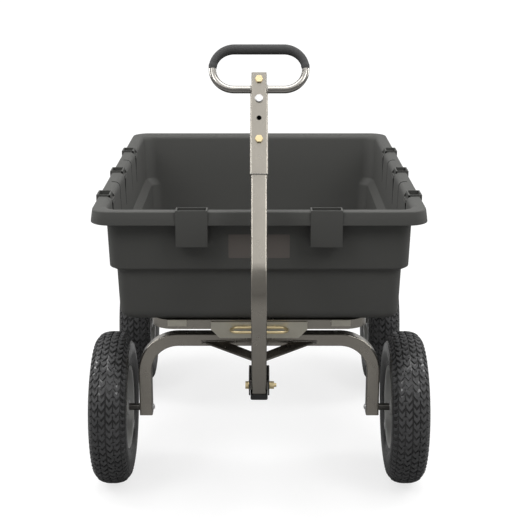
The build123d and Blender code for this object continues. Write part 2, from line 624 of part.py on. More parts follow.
ARCH_BOTTOM_Z = ARCH_TOP_Z - ARCH_TUBE
with BuildPart() as kingpin_bolt:
    with BuildSketch(Plane((0, FRONT_AXLE_Y, ARCH_BOTTOM_Z - 10.5))):
        RegularPolygon(hex_across(24), 6)
    extrude(amount=10)
    with BuildSketch(Plane((0, FRONT_AXLE_Y, ARCH_BOTTOM_Z - 0.5))):
        Circle(KINGPIN_R)
    extrude(amount=RAIL_TOP_Z - ARCH_BOTTOM_Z - 0.5)
save(kingpin_bolt.part, "kingpin_bolt")

with BuildPart() as kingpin_nut:
    with BuildSketch(Plane((0, FRONT_AXLE_Y, RAIL_BOTTOM_Z))):
        RegularPolygon(hex_across(24), 6)
        Circle(KINGPIN_R + RUNNING_GAP, mode=Mode.SUBTRACT)
    extrude(amount=15)
save(kingpin_nut.part, "kingpin_nut")

with BuildPart() as thrust_washer:
    with BuildSketch(Plane((0, FRONT_AXLE_Y, ARCH_TOP_Z + 0.2))):
        Circle(25)
        Circle(KINGPIN_R + RUNNING_GAP, mode=Mode.SUBTRACT)
    extrude(amount=BOSS_BOTTOM_Z - ARCH_TOP_Z - 0.2)
save(thrust_washer.part, "thrust_washer")

with BuildPart() as rear_axle_saddles:
    for x in mirror_pair(RAIL_X):
        with BuildSketch(Plane(origin=(x - 25, REAR_AXLE_Y, ARCH_TOP_Z), x_dir=(0, 1, 0), z_dir=(1, 0, 0))):
            with Locations((0, (RAIL_BOTTOM_Z - ARCH_TOP_Z) / 2)):
                Rectangle(ARCH_TUBE, RAIL_BOTTOM_Z - ARCH_TOP_Z)
                Rectangle(ARCH_TUBE - 6, RAIL_BOTTOM_Z - ARCH_TOP_Z - 6, mode=Mode.SUBTRACT)
        extrude(amount=50)
save(rear_axle_saddles.part, "rear_axle_saddles")

LUG_THICK = 5.0
LUG_INNER_X = RAIL_X + RAIL_WIDTH / 2 + 2.0
with BuildPart() as tub_hinge_pin:
    head_start = (-LUG_INNER_X - LUG_THICK - 6, HINGE_Y, HINGE_Z)
    with BuildSketch(Plane(origin=head_start, x_dir=(0, 1, 0), z_dir=(1, 0, 0))):
        Circle(HINGE_PIN_R + 4)
    extrude(amount=5)
    shank_start = (-LUG_INNER_X - LUG_THICK - 1, HINGE_Y, HINGE_Z)
    with BuildSketch(Plane(origin=shank_start, x_dir=(0, 1, 0), z_dir=(1, 0, 0))):
        Circle(HINGE_PIN_R)
    extrude(amount=2 * (LUG_INNER_X + LUG_THICK) + 14)
save(tub_hinge_pin.part, "tub_hinge_pin")

with BuildPart() as tub_rest_pads:
    for x in mirror_pair(RAIL_X):
        with BuildSketch(Plane((x, FRAME_FRONT_Y + FRAME_TUBE / 2, RAIL_TOP_Z))):
            RectangleRounded(30, 22, 4)
        extrude(amount=FRAME_BOTTOM_Z - RAIL_TOP_Z - 0.2)
save(tub_rest_pads.part, "tub_rest_pads")


# ---- dump latch ---------------------------------------------------------------
# A bent rod: a flat finger loop in front of the plate, its two pins reaching into the tub frame.
LOOP_BACK_Y = PLATE_BACK_Y - PLATE_THICK - 5.0
LOOP_DEPTH = 38.0
LOOP_END_R = LOOP_DEPTH / 2
LATCH_HALF_X = 77.0 - LATCH_ROD_R - LOOP_END_R
LATCH_REACH = 16.0
SPRING_FROM_Y = PLATE_BACK_Y + 4.0

with BuildPart() as release_rod:
    with BuildLine(Plane((0, 0, LATCH_Z))) as latch_path:
        back = LOOP_BACK_Y
        front = LOOP_BACK_Y - LOOP_DEPTH
        Line((LATCH_HALF_X, back), (-LATCH_HALF_X, back))
        ThreePointArc(
            (-LATCH_HALF_X, back), (-LATCH_HALF_X - LOOP_END_R, back - LOOP_END_R), (-LATCH_HALF_X, front)
        )
        Line((-LATCH_HALF_X, front), (LATCH_HALF_X, front))
        ThreePointArc(
            (LATCH_HALF_X, front), (LATCH_HALF_X + LOOP_END_R, back - LOOP_END_R), (LATCH_HALF_X, back)
        )
    with BuildSketch(Plane(origin=latch_path.wire() @ 0, z_dir=latch_path.wire() % 0)):
        Circle(LATCH_ROD_R)
    sweep(path=latch_path.wire())
    for x in mirror_pair(LATCH_PIN_X):
        with BuildSketch(Plane(origin=(x, LOOP_BACK_Y, LATCH_Z), z_dir=(0, 1, 0))):
            Circle(LATCH_ROD_R - 0.2)
        extrude(amount=FRAME_FRONT_Y - LOOP_BACK_Y + LATCH_REACH)
    with BuildSketch(Plane((0, LOOP_BACK_Y, SPRING_Z - 3))):
        Rectangle(7, 5)
    extrude(amount=LATCH_Z - SPRING_Z + 3)
    with BuildSketch(Plane(origin=(0, LOOP_BACK_Y, SPRING_Z), z_dir=(0, 1, 0))):
        Circle(3)
    extrude(amount=SPRING_FROM_Y - LOOP_BACK_Y)
save(release_rod.part, "release_rod")

SPRING_LENGTH = SPRING_POST_Y - SPRING_POST_R - 1.0 - SPRING_FROM_Y
with BuildPart() as release_spring:
    with BuildLine() as coil:
        Helix(
            pitch=3.4, height=SPRING_LENGTH, radius=SPRING_R,
            center=(0, SPRING_FROM_Y + SPRING_WIRE_R, SPRING_Z), direction=(0, 1, 0),
        )
    with BuildSketch(Plane(origin=coil.wire() @ 0, z_dir=coil.wire() % 0)):
        Circle(SPRING_WIRE_R)
    sweep(path=coil.wire(), is_frenet=True)
save(release_spring.part, "release_spring")


# ---- tub frame ------------------------------------------------------------------
FRAME_MID_Y = (FRAME_FRONT_Y + FRAME_REAR_Y) / 2
FRAME_LENGTH = FRAME_REAR_Y - FRAME_FRONT_Y
FRAME_CORNER_R = 60.0
CROSS_YS = (FRONT_AXLE_Y + 250.0, FRONT_AXLE_Y + 545.0, FRONT_AXLE_Y + 800.0)
TUB_BOLT_R = 4.0
TUB_BOLT_PLACES = [(x, y) for x in mirror_pair(200.0) for y in CROSS_YS]


def frame_outline(inset):
    """Rounded rectangle of the tub frame, taken in from its outer face."""
    RectangleRounded(2 * (FRAME_HALF_X - inset), FRAME_LENGTH - 2 * inset, FRAME_CORNER_R - inset)


with BuildPart() as tub_frame_ring:
    with BuildSketch(Plane((0, FRAME_MID_Y, FRAME_BOTTOM_Z))):
        frame_outline(0)
        RectangleRounded(
            2 * (FRAME_HALF_X - FRAME_TUBE), FRAME_LENGTH - 2 * FRAME_TUBE, FRAME_CORNER_R - FRAME_TUBE,
            mode=Mode.SUBTRACT,
        )
    extrude(amount=FRAME_TUBE)
    with BuildSketch(Plane((0, FRAME_MID_Y, FRAME_BOTTOM_Z + FRAME_WALL))):
        frame_outline(FRAME_WALL)
        RectangleRounded(
            2 * (FRAME_HALF_X - FRAME_TUBE + FRAME_WALL), FRAME_LENGTH - 2 * (FRAME_TUBE - FRAME_WALL),
            FRAME_CORNER_R - FRAME_TUBE + FRAME_WALL, mode=Mode.SUBTRACT,
        )
    extrude(amount=FRAME_TUBE - 2 * FRAME_WALL, mode=Mode.SUBTRACT)
    for x in mirror_pair(LATCH_PIN_X):
        with BuildSketch(Plane(origin=(x, FRAME_FRONT_Y - 1, LATCH_Z), z_dir=(0, 1, 0))):
            Circle(LATCH_HOLE_R)
        extrude(amount=FRAME_WALL + 4, mode=Mode.SUBTRACT)
save(tub_frame_ring.part, "tub_frame_ring")

with BuildPart() as tub_frame_cross_members:
    for y in CROSS_YS:
        inner_half = FRAME_HALF_X - FRAME_TUBE
        start = (-inner_half, y, FRAME_BOTTOM_Z + FRAME_TUBE / 2)
        with BuildSketch(Plane(origin=start, x_dir=(0, 1, 0), z_dir=(1, 0, 0))):
            RectangleRounded(FRAME_TUBE, FRAME_TUBE, 3)
            RectangleRounded(FRAME_TUBE - 2 * FRAME_WALL, FRAME_TUBE - 2 * FRAME_WALL, 1, mode=Mode.SUBTRACT)
        extrude(amount=2 * inner_half)
    for x, y in TUB_BOLT_PLACES:
        with BuildSketch(Plane((x, y, FRAME_BOTTOM_Z))):
            Circle(TUB_BOLT_R + RUNNING_GAP)
        extrude(amount=FRAME_TUBE, mode=Mode.SUBTRACT)
save(tub_frame_cross_members.part, "tub_frame_cross_members")

with BuildPart() as tub_hinge_lugs:
    for x in (LUG_INNER_X, -LUG_INNER_X - LUG_THICK):
        with BuildSketch(Plane(origin=(x, 0, 0), x_dir=(0, 1, 0), z_dir=(1, 0, 0))):
            with BuildLine():
                Polyline(
                    (HINGE_Y - 2, HINGE_Z - 14),
                    (CROSS_YS[2] + 12.5, FRAME_BOTTOM_Z - 8),
                    (CROSS_YS[2] + 12.5, FRAME_BOTTOM_Z),
                    (HINGE_Y, FRAME_BOTTOM_Z + 2),
                    (HINGE_Y - 2, HINGE_Z - 14),
                )
            make_face()
            with Locations((HINGE_Y, HINGE_Z)):
                Circle(14)
                Circle(HINGE_PIN_R + 2 * RUNNING_GAP, mode=Mode.SUBTRACT)
        extrude(amount=LUG_THICK)
    split(bisect_by=Plane((0, 0, FRAME_BOTTOM_Z)), keep=Keep.BOTTOM)
save(tub_hinge_lugs.part, "tub_hinge_lugs")


# ---- tub --------------------------------------------------------------------------
# Each band is (height, inset of the outer wall from the rim, inset of the rear wall, plan corner radius).
# The front and side walls step in half way down, the rear wall is plain.
WALL_BANDS = (
    (TUB_FLOOR_Z, 57.0, 43.0, 36.0),
    (626.0, 52.0, 36.5, 38.0),
    (637.0, 35.0, 36.0, 40.0),
    (TUB_RIM_Z, 30.0, 30.0, 44.0),
)
RIM_CORNER_R = 60.0
RIM_THICK = 4.0
RIM_ROUND = 5.0
FLOOR_FILLET = 30.0
POCKET_WALL = 4.0
POCKET_ROOT = 10.0
POCKET_TOP_Z = TUB_RIM_Z + 4.0
END_POCKET_X = 169.0
END_POCKET_HOLE = (72.0, 30.0)
END_POCKET_BOTTOM_Z = 700.0
SIDE_POCKET_YS = (FRONT_AXLE_Y + 47.0, FRONT_AXLE_Y + 349.0, FRONT_AXLE_Y + 651.0)
SIDE_POCKET_HOLE = (28.0, 50.0)
SIDE_POCKET_BOTTOM_Z = 738.0


def tub_section(height, inset, rear_inset, corner):
    """A plan section of the tub, as a sketch for a loft."""
    middle_y = TUB_MID_Y + (inset - rear_inset) / 2
    with BuildSketch(Plane((0, middle_y, height))) as section:
        RectangleRounded(2 * (TUB_HALF_X - inset), TUB_LENGTH - inset - rear_inset, corner)
    return section.sketch


def tub_solid(wall, floor, top):
    """The tub's outer shape taken in by its wall, from its floor to its top, as a solid."""
    bands = [(z, inset + wall, rear + wall, corner - wall) for z, inset, rear, corner in WALL_BANDS]
    bands[0] = (floor, *bands[0][1:])
    bands[-1] = (top, *bands[-1][1:])
    with BuildPart() as body:
        for lower, upper in zip(bands, bands[1:]):
            loft([tub_section(*lower), tub_section(*upper)], ruled=True)
        fillet(body.faces().sort_by(Axis.Z)[0].edges(), FLOOR_FILLET - wall)
    return body.part


def rim_solid(thickness):
    """The rim's flared skirt taken in by a thickness, from its lip to its top, as a solid."""
    with BuildPart() as body:
        flare = thickness - RIM_FLARE
        lip = tub_section(TUB_LIP_Z, flare, flare, RIM_CORNER_R - flare)
        top = tub_section(TUB_RIM_Z - thickness, thickness, thickness, RIM_CORNER_R - thickness)
        loft([lip, top], ruled=True)
    return body.part


tub_outside = tub_solid(0, TUB_FLOOR_Z, TUB_RIM_Z)
tub_inside = tub_solid(TUB_WALL, TUB_FLOOR_Z + TUB_WALL, TUB_RIM_Z + 10)

# Pockets as (centre x, centre y, hole in x, hole in y, step inwards in x, step inwards in y, lower end).
END_POCKET_Y = TUB_FRONT_Y - POCKET_PROUD + POCKET_WALL + END_POCKET_HOLE[1] / 2
SIDE_POCKET_X = TUB_HALF_X + POCKET_PROUD - POCKET_WALL - SIDE_POCKET_HOLE[0] / 2
pockets = []
for x in mirror_pair(END_POCKET_X):
    pockets.append((x, END_POCKET_Y, *END_POCKET_HOLE, 0, 1, END_POCKET_BOTTOM_Z))
for x, inwards in ((SIDE_POCKET_X, -1), (-SIDE_POCKET_X, 1)):
    for y in SIDE_POCKET_YS:
        pockets.append((x, y, *SIDE_POCKET_HOLE, inwards, 0, SIDE_POCKET_BOTTOM_Z))

with BuildPart() as tub:
    add(rim_solid(0))
    fillet(tub.faces().sort_by(Axis.Z)[-1].edges(), RIM_ROUND)
    add(rim_solid(RIM_THICK), mode=Mode.SUBTRACT)
    add(tub_outside)
    # Each pocket is a square chute under the rim, rooted in the tub's wall.
    for x, y, hole_x, hole_y, step_x, step_y, bottom in pockets:
        middle = (x + step_x * POCKET_ROOT / 2, y + step_y * POCKET_ROOT / 2, bottom)
        with BuildSketch(Plane(middle)):
            RectangleRounded(
                hole_x + 2 * POCKET_WALL + abs(step_x) * POCKET_ROOT,
                hole_y + 2 * POCKET_WALL + abs(step_y) * POCKET_ROOT,
                3,
            )
        extrude(amount=POCKET_TOP_Z - bottom)
    add(tub_inside, mode=Mode.SUBTRACT)
    for x, y, hole_x, hole_y, step_x, step_y, bottom in pockets:
        with BuildSketch(Plane((x, y, bottom - 1))):
            Rectangle(hole_x, hole_y)
        extrude(amount=POCKET_TOP_Z - bottom + 2, mode=Mode.SUBTRACT)
    for x, y in TUB_BOLT_PLACES:
        with BuildSketch(Plane((x, y, TUB_FLOOR_Z - 1))):
            Circle(TUB_BOLT_R + RUNNING_GAP)
        extrude(amount=TUB_WALL + 2, mode=Mode.SUBTRACT)
save(tub.part, "tub")

# Carriage bolts through the tub's floor and the cross members, with nuts below.
with BuildPart() as tub_bolts:
    for x, y in TUB_BOLT_PLACES:
        with BuildSketch(Plane(origin=(x, y, 0), x_dir=(1, 0, 0), z_dir=(0, -1, 0))):
            with BuildLine():
                head_z = TUB_FLOOR_Z + TUB_WALL
                middle_r, middle_h = dome_middle(9, 3)
                Line((0, head_z + 3), (0, FRAME_BOTTOM_Z - 10))
                Line((0, FRAME_BOTTOM_Z - 10), (TUB_BOLT_R, FRAME_BOTTOM_Z - 10))
                Line((TUB_BOLT_R, FRAME_BOTTOM_Z - 10), (TUB_BOLT_R, head_z))
                Line((TUB_BOLT_R, head_z), (9, head_z))
                ThreePointArc((9, head_z), (middle_r, head_z + middle_h), (0, head_z + 3))
            make_face()
        revolve(axis=Axis((x, y, 0), (0, 0, 1)))
save(tub_bolts.part, "tub_bolts")

with BuildPart() as tub_nuts:
    for x, y in TUB_BOLT_PLACES:
        with BuildSketch(Plane((x, y, FRAME_BOTTOM_Z))):
            RegularPolygon(hex_across(13), 6)
            Circle(TUB_BOLT_R + RUNNING_GAP, mode=Mode.SUBTRACT)
        extrude(amount=-7)
save(tub_nuts.part, "tub_nuts")

# A blank sticker on the front wall, which leans outwards as it rises.
STEP_Z, STEP_INSET = WALL_BANDS[2][:2]
WALL_LEAN = math.atan((STEP_INSET - WALL_BANDS[3][1]) / (TUB_RIM_Z - STEP_Z))
LABEL_Z = 696.5
LABEL_SIZE = (156.0, 63.0)
with BuildPart() as blank_label:
    label_y = TUB_FRONT_Y + STEP_INSET - (LABEL_Z - STEP_Z) * math.tan(WALL_LEAN)
    label_out = (0, -math.cos(WALL_LEAN), -math.sin(WALL_LEAN))
    with BuildSketch(Plane(origin=(0, label_y - 0.02, LABEL_Z), x_dir=(1, 0, 0), z_dir=label_out)):
        RectangleRounded(*LABEL_SIZE, 3)
    extrude(amount=0.6)
save(blank_label.part, "blank_label")
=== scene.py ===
"""Garden dump cart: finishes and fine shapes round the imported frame.

Metres, Z up, floor at Z = 0, pull handle at -Y. Everything sits where the frame says.
"""
import logging
import math
from dataclasses import dataclass
from enum import Enum

import bmesh
import bpy
from mathutils import Matrix, Vector


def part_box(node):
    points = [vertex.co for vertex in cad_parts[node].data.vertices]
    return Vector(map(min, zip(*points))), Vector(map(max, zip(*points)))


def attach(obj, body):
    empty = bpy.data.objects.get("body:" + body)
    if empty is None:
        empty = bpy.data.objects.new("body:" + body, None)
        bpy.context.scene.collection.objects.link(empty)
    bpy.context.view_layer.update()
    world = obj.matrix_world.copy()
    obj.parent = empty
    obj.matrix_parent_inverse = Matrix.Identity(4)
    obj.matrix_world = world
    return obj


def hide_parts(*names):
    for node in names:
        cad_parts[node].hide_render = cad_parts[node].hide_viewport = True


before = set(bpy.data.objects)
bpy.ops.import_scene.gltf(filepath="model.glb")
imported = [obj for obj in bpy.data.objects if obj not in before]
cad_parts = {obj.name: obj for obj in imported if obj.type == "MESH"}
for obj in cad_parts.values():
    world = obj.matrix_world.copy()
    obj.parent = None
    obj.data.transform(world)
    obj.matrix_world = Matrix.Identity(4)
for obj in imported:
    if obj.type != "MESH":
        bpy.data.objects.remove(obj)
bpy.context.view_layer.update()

LOG = logging.getLogger("garden_cart")
MM = 0.001
Point = tuple[float, float, float]
Flat = tuple[float, float]
Socket = bpy.types.NodeSocket
Ring = list[bmesh.types.BMVert]
Work = bmesh.types.BMesh
Piece = bpy.types.Object
NODES: dict[str, Piece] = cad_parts


class Grain(Enum):
    """How a finish breaks up at close range."""

    ORANGE_PEEL = "orange_peel"
    MOULDED = "moulded"
    DRAWN = "drawn"
    PLATED = "plated"


class Side(Enum):
    """Which side of the cart a wheel is on, as the sign of its X."""

    LEFT = -1
    RIGHT = 1


# ---- finishes ----


class Shader:
    """A node material that reads Object coordinates."""

    def __init__(self, name: str) -> None:
        """Start a material with a plain shader.

        Args:
            name: The material's name.
        """
        self.material = bpy.data.materials.new(name)
        self.material.use_nodes = True
        self.tree = self.material.node_tree
        self.surface = self.tree.nodes["Principled BSDF"]
        self.place = self.tree.nodes.new("ShaderNodeTexCoord").outputs["Object"]

    def add(self, kind: str, **values: object) -> bpy.types.Node:
        """Add a node and set its sockets.

        Args:
            kind: The node's type.
            values: Socket values or links, by socket name with _ for a space.

        Returns:
            The new node.
        """
        node = self.tree.nodes.new(kind)
        for name, value in values.items():
            self.put(node, name.replace("_", " "), value)
        return node

    def put(self, node: bpy.types.Node, socket: str | int, value: object) -> None:
        """Set or link one socket.

        Args:
            node: The node whose socket it is.
            socket: The socket's name or number.
            value: A number, a colour, or another node's output.
        """
        if isinstance(value, Socket):
            self.tree.links.new(value, node.inputs[socket])
        else:
            node.inputs[socket].default_value = value

    def cloud(self, scale: float, stretch: Point = (1.0, 1.0, 1.0), detail: float = 4.0) -> Socket:
        """A soft noise of 0 to 1, by waves per metre, squeeze of each axis and octaves."""
        mapping = self.add("ShaderNodeMapping", Vector=self.place, Scale=stretch)
        noise = self.add("ShaderNodeTexNoise", Vector=mapping.outputs[0], Scale=scale, Detail=detail)
        return noise.outputs[0]

    def span(self, value: Socket, low: float, high: float, start: float = 0.3, end: float = 0.7) -> Socket:
        """Spread a noise so that its start value gives low and its end value gives high."""
        ends = {"From_Min": start, "From_Max": end, "To_Min": low, "To_Max": high}
        return self.add("ShaderNodeMapRange", Value=value, **ends).outputs[0]

    def blend(self, factor: Socket, first: object, second: object) -> Socket:
        """Mix two colours.

        Args:
            factor: 0 gives first, 1 gives second.
            first: A colour or a colour output.
            second: A colour or a colour output.

        Returns:
            The mixed colour.
        """
        mix = self.tree.nodes.new("ShaderNodeMix")
        mix.data_type = "RGBA"
        self.put(mix, 0, factor)
        self.put(mix, 6, first)
        self.put(mix, 7, second)
        return mix.outputs[2]

    def bump(self, height: Socket, depth: float, under: Socket | None = None) -> Socket:
        """Raise the surface by a height.

        Args:
            height: The height's output, 0 to 1.
            depth: Metres that 1 stands for.
            under: A coarser bump below it.

        Returns:
            The bent normal.
        """
        node = self.add("ShaderNodeBump", Height=height, Distance=depth, Strength=1.0)
        if under is not None:
            self.put(node, "Normal", under)
        return node.outputs[0]


@dataclass(frozen=True)
class Finish:
    """One finish of the cart, as numbers that a maker would give, or painted shade for the groove walls."""

    name: str
    colour: Point
    roughness: float
    grain: Grain
    metallic: float = 0.0
    gloss: float = 0.5
    coat: float = 0.0
    coat_roughness: float = 0.1
    wander: float = 0.10
    patch: float = 14.0
    rough_spread: float = 0.06

    def tint(self, share: float) -> tuple[float, float, float, float]:
        """The finish's colour with alpha, lighter or darker than at a share of 1."""
        return (*(min(1.0, c * share) for c in self.colour), 1.0)

    def material(self) -> bpy.types.Material:
        """Build the node material.

        Returns:
            The material, ready for a slot.
        """
        found = bpy.data.materials.get(self.name)
        if found:
            return found
        shader = Shader(self.name)
        patches = shader.cloud(self.patch)
        darker, lighter = self.tint(1 - self.wander), self.tint(1 + self.wander)
        colour = shader.blend(shader.span(patches, 0.0, 1.0), darker, lighter)
        low, high = self.roughness - self.rough_spread, self.roughness + self.rough_spread
        rough = shader.span(shader.cloud(self.patch * 3.1), max(0.03, low), high)
        match self.grain:
            case Grain.ORANGE_PEEL:
                flake = shader.cloud(2600.0, detail=1.0)
                colour = shader.blend(shader.span(flake, 0.0, 0.2, 0.5, 0.75), colour, self.tint(1.35))
                normal = shader.bump(shader.cloud(240.0, detail=1.0), 0.000008)
            case Grain.MOULDED:
                swell = shader.bump(shader.cloud(28.0, detail=2.0), 0.00030)
                normal = shader.bump(shader.cloud(1150.0, detail=3.0), 0.00010, swell)
                dust = shader.cloud(60.0, detail=6.0)
                colour = shader.blend(shader.span(dust, 0.0, 0.25, 0.52, 0.8), colour, self.tint(1.8))
            case Grain.DRAWN:
                lines = shader.cloud(900.0, stretch=(0.04, 1.0, 1.0), detail=3.0)
                normal = shader.bump(lines, 0.000012)
                colour = shader.blend(shader.span(lines, 0.0, 0.5), colour, self.tint(0.75))
            case Grain.PLATED:
                normal = shader.bump(shader.cloud(700.0, detail=4.0), 0.00002)
                stain = shader.cloud(90.0, detail=5.0)
                colour = shader.blend(shader.span(stain, 0.0, 0.6, 0.55, 0.75), colour, self.tint(0.6))
        sockets = {
            "Base Color": colour, "Roughness": rough, "Normal": normal, "Metallic": self.metallic,
            "Specular IOR Level": self.gloss, "Coat Weight": self.coat, "Coat Roughness": self.coat_roughness,
        }
        for socket, value in sockets.items():
            shader.put(shader.surface, socket, value)
        return shader.material


POWDER_COAT = Finish(
    "powder_coat", (0.290, 0.270, 0.236), 0.25, Grain.ORANGE_PEEL,
    metallic=0.9, coat=0.25, wander=0.05, rough_spread=0.03,
)
PLATE_COAT = Finish("plate_coat", (0.40, 0.38, 0.32), 0.36, Grain.ORANGE_PEEL, metallic=0.6, coat=0.2)
BLACK_COAT = Finish("black_coat", (0.016, 0.015, 0.014), 0.38, Grain.ORANGE_PEEL, coat=0.3)
CAP_PLASTIC = Finish("cap_plastic", (0.018, 0.018, 0.018), 0.5, Grain.MOULDED)
DRAWN_STEEL = Finish(
    "drawn_steel", (0.34, 0.325, 0.30), 0.24, Grain.DRAWN, metallic=1.0, coat=0.4, coat_roughness=0.05
)
GRIP_RUBBER = Finish("grip_rubber", (0.024, 0.024, 0.024), 0.62, Grain.MOULDED, gloss=0.35)
YELLOW_ZINC = Finish("yellow_zinc", (0.60, 0.47, 0.25), 0.28, Grain.PLATED, metallic=1.0)
BRIGHT_ZINC = Finish("bright_zinc", (0.38, 0.37, 0.345), 0.30, Grain.PLATED, metallic=1.0)
WELD_METAL = Finish("weld_metal", (0.36, 0.345, 0.315), 0.26, Grain.PLATED, metallic=0.9, coat=0.4)
NYLON = Finish("nylon", (0.58, 0.57, 0.52), 0.42, Grain.MOULDED, wander=0.03)
TUB_PLASTIC = Finish("tub_plastic", (0.0385, 0.0355, 0.0325), 0.37, Grain.MOULDED, wander=0.10, patch=6.0)
# Painted shade: a near-black material for the groove walls, standing in for the shadow inside the slots.
PAINTED_GAP_SHADE = Finish("gap_shade", (0.006, 0.006, 0.006), 0.8, Grain.MOULDED, gloss=0.1)
LABEL_FILM = Finish("label_film", (0.066, 0.055, 0.046), 0.5, Grain.MOULDED, wander=0.2)
TREAD_RUBBER = Finish("tread_rubber", (0.044, 0.044, 0.045), 0.66, Grain.MOULDED, wander=0.25)
SIDEWALL_RUBBER = Finish("sidewall_rubber", (0.020, 0.020, 0.020), 0.20, Grain.ORANGE_PEEL, gloss=0.55)
TUBE_RUBBER = Finish("tube_rubber", (0.02, 0.02, 0.02), 0.5, Grain.MOULDED)
RIM_PAINT = Finish("rim_paint", (0.060, 0.057, 0.052), 0.20, Grain.ORANGE_PEEL, metallic=0.9, coat=0.15)
AXLE_STEEL = Finish("axle_steel", (0.14, 0.135, 0.125), 0.30, Grain.DRAWN, metallic=0.95)
BEARING_STEEL = Finish("bearing_steel", (0.5, 0.5, 0.5), 0.22, Grain.DRAWN, metallic=1.0)


def dress(finish: Finish, *names: str) -> None:
    """Give CAD nodes a finish.

    Args:
        finish: The finish.
        names: The nodes' names.
    """
    for name in names:
        slots = NODES[name].data.materials
        slots.clear()
        slots.append(finish.material())


# ---- mesh helpers ----


def mark_sharp(mesh: bpy.types.Mesh, limit: float = 32.0) -> None:
    """Shade a mesh smooth with crisp edges past an angle.

    Args:
        mesh: The mesh.
        limit: Degrees between faces above which an edge stays crisp.
    """
    work = bmesh.new()
    work.from_mesh(mesh)
    for face in work.faces:
        face.smooth = True
    for edge in work.edges:
        edge.smooth = edge.calc_face_angle(0.0) < math.radians(limit)
    work.to_mesh(mesh)
    work.free()


def new_piece(name: str, work: Work, finish: Finish, limit: float = 32.0) -> Piece:
    """Turn a bmesh into an object at the origin.

    Args:
        name: The piece's name.
        work: Its mesh, which is freed.
        finish: Its finish.
        limit: Degrees for crisp edges.

    Returns:
        The object.
    """
    mesh = bpy.data.meshes.new(name)
    work.to_mesh(mesh)
    work.free()
    mesh.materials.append(finish.material())
    mark_sharp(mesh, limit)
    piece = bpy.data.objects.new(name, mesh)
    bpy.context.scene.collection.objects.link(piece)
    return piece


def settle(piece: Piece) -> Piece:
    """Apply a piece's modifiers to a plain mesh of its own.

    Args:
        piece: The piece with live modifiers.

    Returns:
        The same piece, with a plain mesh and no modifiers.
    """
    graph = bpy.context.evaluated_depsgraph_get()
    graph.update()
    mesh = bpy.data.meshes.new_from_object(piece.evaluated_get(graph), depsgraph=graph)
    piece.modifiers.clear()
    piece.data = mesh
    return piece


def carve(piece: Piece, tool: Piece, operation: str) -> None:
    """Join or cut a solid with another, and drop the tool.

    Args:
        piece: The solid that stays.
        tool: The other solid.
        operation: UNION or DIFFERENCE.
    """
    modifier = piece.modifiers.new("carve", "BOOLEAN")
    modifier.object = tool
    modifier.operation = operation
    modifier.solver = "EXACT"
    settle(piece)
    bpy.data.objects.remove(tool)


def add_block(work: Work, low: Point, high: Point, bevel: float = 0.0) -> None:
    """Add a box with softened edges.

    Args:
        work: The mesh to add to.
        low: Lowest corner.
        high: Highest corner.
        bevel: Width of the softened edges.
    """
    made = bmesh.ops.create_cube(work, size=1.0)["verts"]
    size = Vector(high) - Vector(low)
    middle = (Vector(high) + Vector(low)) / 2
    bmesh.ops.transform(work, matrix=Matrix.Translation(middle) @ Matrix.Diagonal((*size, 1.0)), verts=made)
    if bevel:
        edges = list({edge for vert in made for edge in vert.link_edges})
        bmesh.ops.bevel(work, geom=edges, offset=bevel, segments=2, profile=0.7, affect="EDGES")


def bridge(work: Work, rings: list[Ring], closed: bool) -> None:
    """Skin a run of equal rings with quads.

    Args:
        work: The mesh the rings are in.
        rings: Rings of vertices, each a loop.
        closed: Whether the last ring joins the first.
    """
    pairs = list(zip(rings, rings[1:] + rings[:1])) if closed else list(zip(rings, rings[1:]))
    for first, second in pairs:
        count = len(first)
        for i in range(count):
            j = (i + 1) % count
            work.faces.new((first[i], first[j], second[j], second[i]))


def cap(work: Work, rings: list[Ring]) -> None:
    """Close the two ends of a bridged run.

    Args:
        work: The mesh the rings are in.
        rings: The run's rings.
    """
    work.faces.new(rings[0])
    work.faces.new(list(reversed(rings[-1])))


def smooth_line(points: list[Flat], steps: int) -> list[Flat]:
    """A curve through points.

    Args:
        points: The points.
        steps: Pieces for each gap.

    Returns:
        Points along the curve.
    """
    line: list[Flat] = []
    last = len(points) - 1
    for i in range(last):
        a, b, c, d = (Vector(points[max(0, min(last, i + k))]) for k in (-1, 0, 1, 2))
        for step in range(steps):
            t = step / steps
            bend, twist = 2 * a - 5 * b + 4 * c - d, 3 * b - a - 3 * c + d
            spot = 0.5 * (2 * b + (c - a) * t + bend * t**2 + twist * t**3)
            line.append((spot.x, spot.y))
    return line + [points[-1]]


def round_corners(points: list[tuple[float, float, float]], steps: int = 5) -> list[Flat]:
    """Round the corners of a profile.

    Args:
        points: (u, v, radius) of each corner, open ended.
        steps: Pieces in each rounding.

    Returns:
        The rounded profile.
    """
    line: list[Flat] = [points[0][:2]]
    for before, here, after in zip(points, points[1:], points[2:]):
        corner, radius = Vector(here[:2]), here[2]
        into, out = Vector(before[:2]) - corner, Vector(after[:2]) - corner
        if radius <= 0:
            line.append(here[:2])
            continue
        half = into.angle(out) / 2
        reach = min(radius / math.tan(half), into.length * 0.49, out.length * 0.49)
        start, end = corner + into.normalized() * reach, corner + out.normalized() * reach
        for step in range(steps + 1):
            t = step / steps
            spot = start * (1 - t) ** 2 + corner * 2 * t * (1 - t) + end * t**2
            line.append((spot.x, spot.y))
    line.append(points[-1][:2])
    return line


# ---- repeated detail as geometry nodes ----


